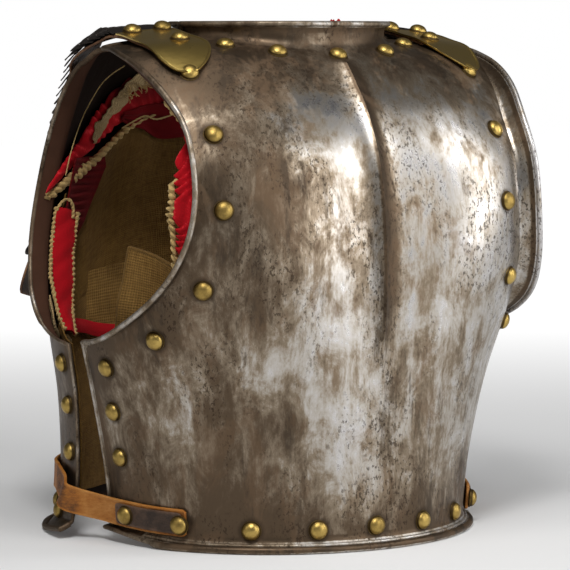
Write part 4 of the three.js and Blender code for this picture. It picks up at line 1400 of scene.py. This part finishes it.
# The back's border has a gathered upper part along the lining's top and a flat band down each armhole.
BORDER_STATIONS = [(30.5, 4.54, -5), (33, 4.68, 0), (37, 4.83, 5), (43, 4.97, 9), (50, 5.1, 11)]
BORDER_STATIONS += [(57, 5.27, 11), (64, 5.48, 11), (70, 5.67, 10)]
BORDER_STATIONS += [(76, 5.84, 10), (83, 5.92, 9), (90, 5.95, 9)]
BORDER_LINE = inner_line(BORDER_STATIONS, 700, both=True)
BORDER_WIDE = mirrored_table((0, 6), (0.05, 10), (0.12, 17), (0.22, 30), (0.32, 38), (0.5, 42))
BORDER_THICK = mirrored_table((0, 3), (0.1, 6), (0.22, 9), (0.4, 7), (0.5, 7))
border = stuffed_border(
    "back_red_border", BORDER_LINE, 1, BORDER_WIDE, BORDER_THICK, 34, 0.2, 0.7, (0.09, 1.0), 51
)
CORD_SIZE = mirrored_table((0, 3), (0.02, 3.8), (0.2, 3.6), (0.25, 2.4), (0.34, 1.6), (0.37, 0.8), (0.5, 0.8))
CORD_OFF = mirrored_table((0, 2), (0.1, 6), (0.2, 7), (0.5, 5))
inner_cord = twisted_cord("back_inner_cord", BORDER_LINE, CORD_SIZE, -3, CORD_OFF, 8, 0.7, 71)

BAND_WIDTH = 22
BAND_TURN = 50 * DEGREE
BAND_STATIONS = [(18, 2.95, 4), (22, 3.12, 4), (27, 3.4, 4), (31, 3.75, 4), (33, 4.1, 4), (34, 4.42, 4)]
BAND_LINE = inner_line(BAND_STATIONS, 200)
BAND_OUTER = table((0, 11), (0.15, 6), (0.45, 0), (1, 1))  # how far the band's near edge is from its line


def turned(across, bulge):
    """Places across and over the band's line, the band being turned to face the armhole."""
    x = -across * math.cos(BAND_TURN) + bulge * math.sin(BAND_TURN)
    return x, across * math.sin(BAND_TURN) + bulge * math.cos(BAND_TURN)


def band_shape(along, a):
    out = BAND_OUTER(along / BAND_LINE.length)
    across = out + a * (BAND_WIDTH - out) * (1 + 0.03 * wobble(along * 50, 101))
    bulge = 2.2 * np.sin(np.pi * a) + 1.1 * wobble(along * 75 + 2.5 * a, 102)
    return turned(across, bulge + 0.5 * wobble(along * 190 - 4 * a, 103))


def band_cord(reach, size, seed):
    """The cord along an edge of the band, given that edge's distance from the band's line."""
    x, z = (lambda share, k=k: turned(at_share(reach, share), 0)[k] for k in (0, 1))
    return twisted_cord("band_cord", BAND_LINE, size, x, z, 4.5, 0.6, seed)


def thread(name, stations, size, seed):
    """A thin twisted thread through stations (t, w, depth) inside the backplate."""
    return twisted_cord(name, inner_line(stations, 200), size, 0, 0, 4, 0.15, seed)


# The flat lower band of the back's border, with its cords, the loop at its top and a tacking thread.
band_right = cloth_strip("right_red_band", BAND_LINE, (90, 16), band_shape, (0.022, 0.1), 1.6 * MM, 0.6)
band_left = mirrored(band_right, "left_red_band")
LOOP = [(34, 4.36, 5), (34.5, 4.5, 9), (36, 4.52, 14), (38, 4.42, 17), (38.5, 4.28, 18)]
TACK_THREAD = [(57.5, 7.05, 8), (52, 6.75, 8), (46, 6.4, 8), (38, 5.8, 8), (33, 5.3, 8), (30.5, 4.86, 8)]
right_cords = [band_cord(BAND_OUTER, 1.7, 81), band_cord(BAND_WIDTH, 1.9, 85)]
right_cords += [thread("band_loop", LOOP, 1.5, 111), thread("tack_thread", TACK_THREAD, 0.5, 113)]
right_cords = joined("right_band_cords", right_cords)
outer_cords = joined("back_outer_cords", [right_cords, mirrored(right_cords, "left_band_cords")])

FOOT_STRIP = [(36, 2.9, 13), (42, 2.86, 14), (50, 2.82, 15), (58, 2.75, 16), (68, 2.69, 17), (80, 2.64, 16)]
FOOT_STRIP += [(90, 2.62, 14.5)]


def foot_strip_shape(along, a):
    x = (a - 0.5) * 11 + 0.5 * wobble(along * 60, 121)
    return x, 1.5 * np.sin(np.pi * a) + 0.8 * wobble(along * 80 + a, 122)


def side_gathers():
    """The red cloth gathered in level folds below the border's upper cord, painted dark as painted shade."""
    up = np.linspace(0, 1, 130)[:, None]
    a = np.linspace(0, 1, 50)[None, :]
    w = mix(3.85, 5.12, up) + 0 * a
    reach = np.interp(up, (0, 0.25, 0.6, 0.85, 1), (46, 55, 61, 64, 62))
    folds = pleat_swell(up * 13 + 0.7 * a + 0.25 * wobble(up * 9 + 3 * a, 131))
    depth = 12.5 + 2.4 * folds * np.sin(np.pi * np.clip(a * 1.1, 0, 1)) + 1.5 * np.sin(np.pi * a)
    places = inside(BACK, mix(35.5, reach, a), w, depth)
    return flat_cloth("right_red_gathers", places, (0.07, 0.1), 1.2 * MM, folds * 0.4 - 1.2)


def upper_drape():
    """The red cloth that hangs in soft folds below the border's fine thread, painted dark as painted shade.
    """
    up = np.linspace(0, 1, 40)[:, None]
    a = np.linspace(0, 1, 120)[None, :]
    low = np.interp(a, (0, 0.4, 1), (5.75, 5.4, 5.2))
    top = np.interp(a, (0, 0.4, 1), (5.9, 6.1, 6.2))
    w = mix(low + 0.05 * wobble(a * 14, 151), top, up)
    depth = 15.5 + 1.4 * wobble(a * 16 + up * 2, 152) + 0.6 * wobble(up * 9 + a * 4, 153)
    places = inside(BACK, mix(65, 108, a) + 0 * up, w, depth)
    return flat_cloth("red_drape", places, (0.11, 0.03), 1.2 * MM, -0.8)


foot = inner_line(FOOT_STRIP, 120), (70, 10), foot_strip_shape
strip_right = cloth_strip("right_red_foot_strip", *foot, (0.011, 0.08), 1.6 * MM, 0.5)
strip_left = mirrored(strip_right, "left_red_foot_strip")
gathers_right = side_gathers()
gathers_left = mirrored(gathers_right, "left_red_gathers")
parts = [border, band_right, band_left, strip_right, strip_left, gathers_right, gathers_left, upper_drape()]
border = joined("back_red_border", parts)

TAPE_STATIONS = [(24, 3.3, 0), (21, 3.1, 1), (20, 2.92, 2), (24, 2.8, 4), (32, 2.72, 6), (42, 2.66, 7)]


def tape_shape(along, a):
    """The frayed canvas tape round the band's foot."""
    x = (a - 0.5) * 8 * (1 + 0.15 * wobble(along * 300, 141)) + 0.8 * wobble(along * 90, 142)
    return x, 2 + 1.2 * np.sin(np.pi * a) + 0.8 * wobble(along * 160 + 3 * a, 143)


tape_line = inner_line(TAPE_STATIONS, 160)
tape = cloth_strip("foot_tape", tape_line, (90, 10), tape_shape, (0.008, 0.07), CLOTH_THICK)
tape_right, tape_left = both_sides(tape, "foot_tape", PALE_CANVAS)
finished(ruffle, RED_WOOL, ["breast_ruffle"], 60)
finished(border, RED_WOOL, ["back_border"], 60)
finished(breast_cord, TWINE, ["breast_cord"], 60)
finished(inner_cord, TWINE, ["back_cord_inner"], 60)
finished(outer_cords, TWINE, ["back_cord_outer"], 60)

TORN_STATIONS = [(72, 6.9, 9), (64.5, 6.62, 10), (59, 6.2, 10), (53.5, 5.75, 11), (49, 5.4, 11)]
TORN_LINE = inner_line(TORN_STATIONS, 200)
FAR_THREAD = [(66, 5.6, 17), (74, 5.83, 18), (80, 5.76, 18), (88, 5.95, 18), (96, 6.05, 18)]


def torn_shape(along, a):
    """The torn and frayed canvas strip along the border's upper edge by the right shoulder blade."""
    share = along / TORN_LINE.length
    half = (11 - 6.5 * share) * (1 + 0.12 * wobble(along * 260, 91) + 0.05 * wobble(along * 1500, 92))
    x = (a - 0.5) * 2 * half + 1.5 * wobble(along * 80, 95) + 5 - 2 * share
    z = 3 + 3 * np.sin(np.pi * a) + 1.2 * wobble(along * 150 + 3 * a, 93)
    return x, z + 0.8 * wobble(along * 400 + a * 5, 94)


def frayed_threads(line, count, seed):
    """Short loose threads that stand up and curl at the torn strip's wide end and along its edge."""
    draw = np.random.default_rng(seed)
    threads = []
    for _ in range(count):
        at = draw.uniform(-2, 34) * MM
        side = draw.uniform(-9, 9)
        reach, bend, rise = draw.uniform(4, 10), draw.uniform(-6, 6), draw.uniform(2, 6)
        s = np.linspace(0, 1, 9)
        x = (side + 4 + bend * s**2) * MM
        y = at + draw.uniform(-1, 1) * reach * s * MM
        z = (6 + rise * np.sin(2.2 * s)) * MM
        threads.append(wire("frayed_thread", line.at(x, y, z), 0.45 * MM, 6, 0.5, (0.002, 0.01)))
    return joined("frayed_threads", threads)


def neck_scrap():
    """The scrap of the border's red cloth that stands up above the collar."""
    low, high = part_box("neck_scrap")
    up = np.linspace(0, 1, 24)[:, None]
    a = np.linspace(-1, 1, 12)[None, :]
    half = (high.x - low.x) / 2
    x = (low.x + high.x) / 2 + a * half * (1 - 0.35 * up) * (1 + 0.25 * wobble(up * 6 + a, 96))
    y = middle("neck_scrap").y + 0.6 * MM * wobble(up * 7 + a * 2, 97) + 0 * x
    z = mix(low.z, high.z, up) - 2 * MM * np.abs(wobble(a * 5, 98)) * up
    return flat_cloth("red_neck_scrap", np.stack([x, y, z], -1), (0.012, 0.03), 1.4 * MM, 0.8)


torn = cloth_strip("torn_canvas_strip", TORN_LINE, (110, 16), torn_shape, (0.014, 0.09), CLOTH_THICK)
fray = frayed_threads(TORN_LINE, 34, 99)
fray = joined("frayed_threads", [fray, thread("far_thread", FAR_THREAD, 0.8, 115)])
finished(torn, PALE_CANVAS, ["torn_edge"])
finished(fray, TWINE, (), 60)
scrap = finished(neck_scrap(), RED_WOOL, ["neck_scrap"])

# ---- floor, camera and light ------------------------------------------------------------------------------

AZIMUTH = -31.5 * DEGREE
DISTANCE = 2.5
LOOK_AT = Vector((0.0055, -0.0034, 0.197))
LENS = 193.3
TOWARD = Vector((math.sin(AZIMUTH), -math.cos(AZIMUTH), 0))


def add_camera():
    bpy.ops.object.camera_add(location=TOWARD * DISTANCE + Vector((0, 0, 0.4)))
    camera = bpy.context.object
    camera.rotation_euler = (LOOK_AT - camera.location).to_track_quat("-Z", "Y").to_euler()
    camera.data.lens = LENS
    camera.data.clip_end = 100
    bpy.context.scene.camera = camera


def add_floor():
    bpy.ops.mesh.primitive_plane_add(size=16)
    floor = new_piece("floor")
    f = Finish("floor_paint", Roughness=0.85, Specular_IOR_Level=0.2, Emission_Strength=1.0)
    here = f.place()
    paint = f.blend((f.noise(here, 3, 2) * 0.2).clamped(), (0.74, 0.74, 0.74), (0.68, 0.68, 0.68))
    f.feed("Base Color", paint)
    dot = dict(operation="DOT_PRODUCT")
    behind = f.node("ShaderNodeVectorMath", dot, (here, tuple(-TOWARD)), out="Value")
    f.feed("Emission Color", f.blend(behind.over(0.15, 2.2), (0.06, 0.06, 0.06), (0.95, 0.95, 0.95)))
    floor.data.materials.append(f.material)


def add_light(name, azimuth, high, far, size, power, color=(1, 1, 1)):
    """A soft square light facing the cuirass, azimuth degrees round from the chest towards the left side."""
    a = azimuth * DEGREE
    spot = Vector((math.sin(a) * far, -math.cos(a) * far, high))
    bpy.ops.object.light_add(type="AREA", location=spot)
    light = bpy.context.object
    light.name = name
    light.rotation_euler = (Vector((0, 0, 0.22)) - spot).to_track_quat("-Z", "Y").to_euler()
    light.data.shape = "RECTANGLE"
    light.data.size, light.data.size_y = size
    light.data.energy = power
    light.data.color = color


def add_world():
    world = bpy.data.worlds.new("studio")
    bpy.context.scene.world = world
    world.use_nodes = True
    tree = world.node_tree
    backdrop = tree.nodes["Background"]
    path = tree.nodes.new("ShaderNodeLightPath")
    seen = tree.nodes.new("ShaderNodeMapRange")
    tree.links.new(path.outputs["Is Camera Ray"], seen.inputs["Value"])
    seen.inputs["To Min"].default_value = 0.07
    seen.inputs["To Max"].default_value = 1.0
    tree.links.new(seen.outputs[0], backdrop.inputs["Strength"])
    backdrop.inputs["Color"].default_value = (1, 1, 1, 1)


add_camera()
add_floor()
add_world()
add_light("front_softbox", 20, 0.68, 1.5, (0.5, 1.25), 8.5)
add_light("left_softbox", 56, 0.66, 1.5, (0.36, 1.2), 7)
add_light("right_fill", -85, 0.8, 1.8, (0.5, 0.9), 3, (1, 0.97, 0.92))
add_light("high_key", -38, 1.9, 1.5, (0.5, 0.5), 24)
add_light("overhead", -30, 2.3, 0.8, (1.3, 1.3), 17)
bpy.context.scene.view_settings.view_transform = "Standard"
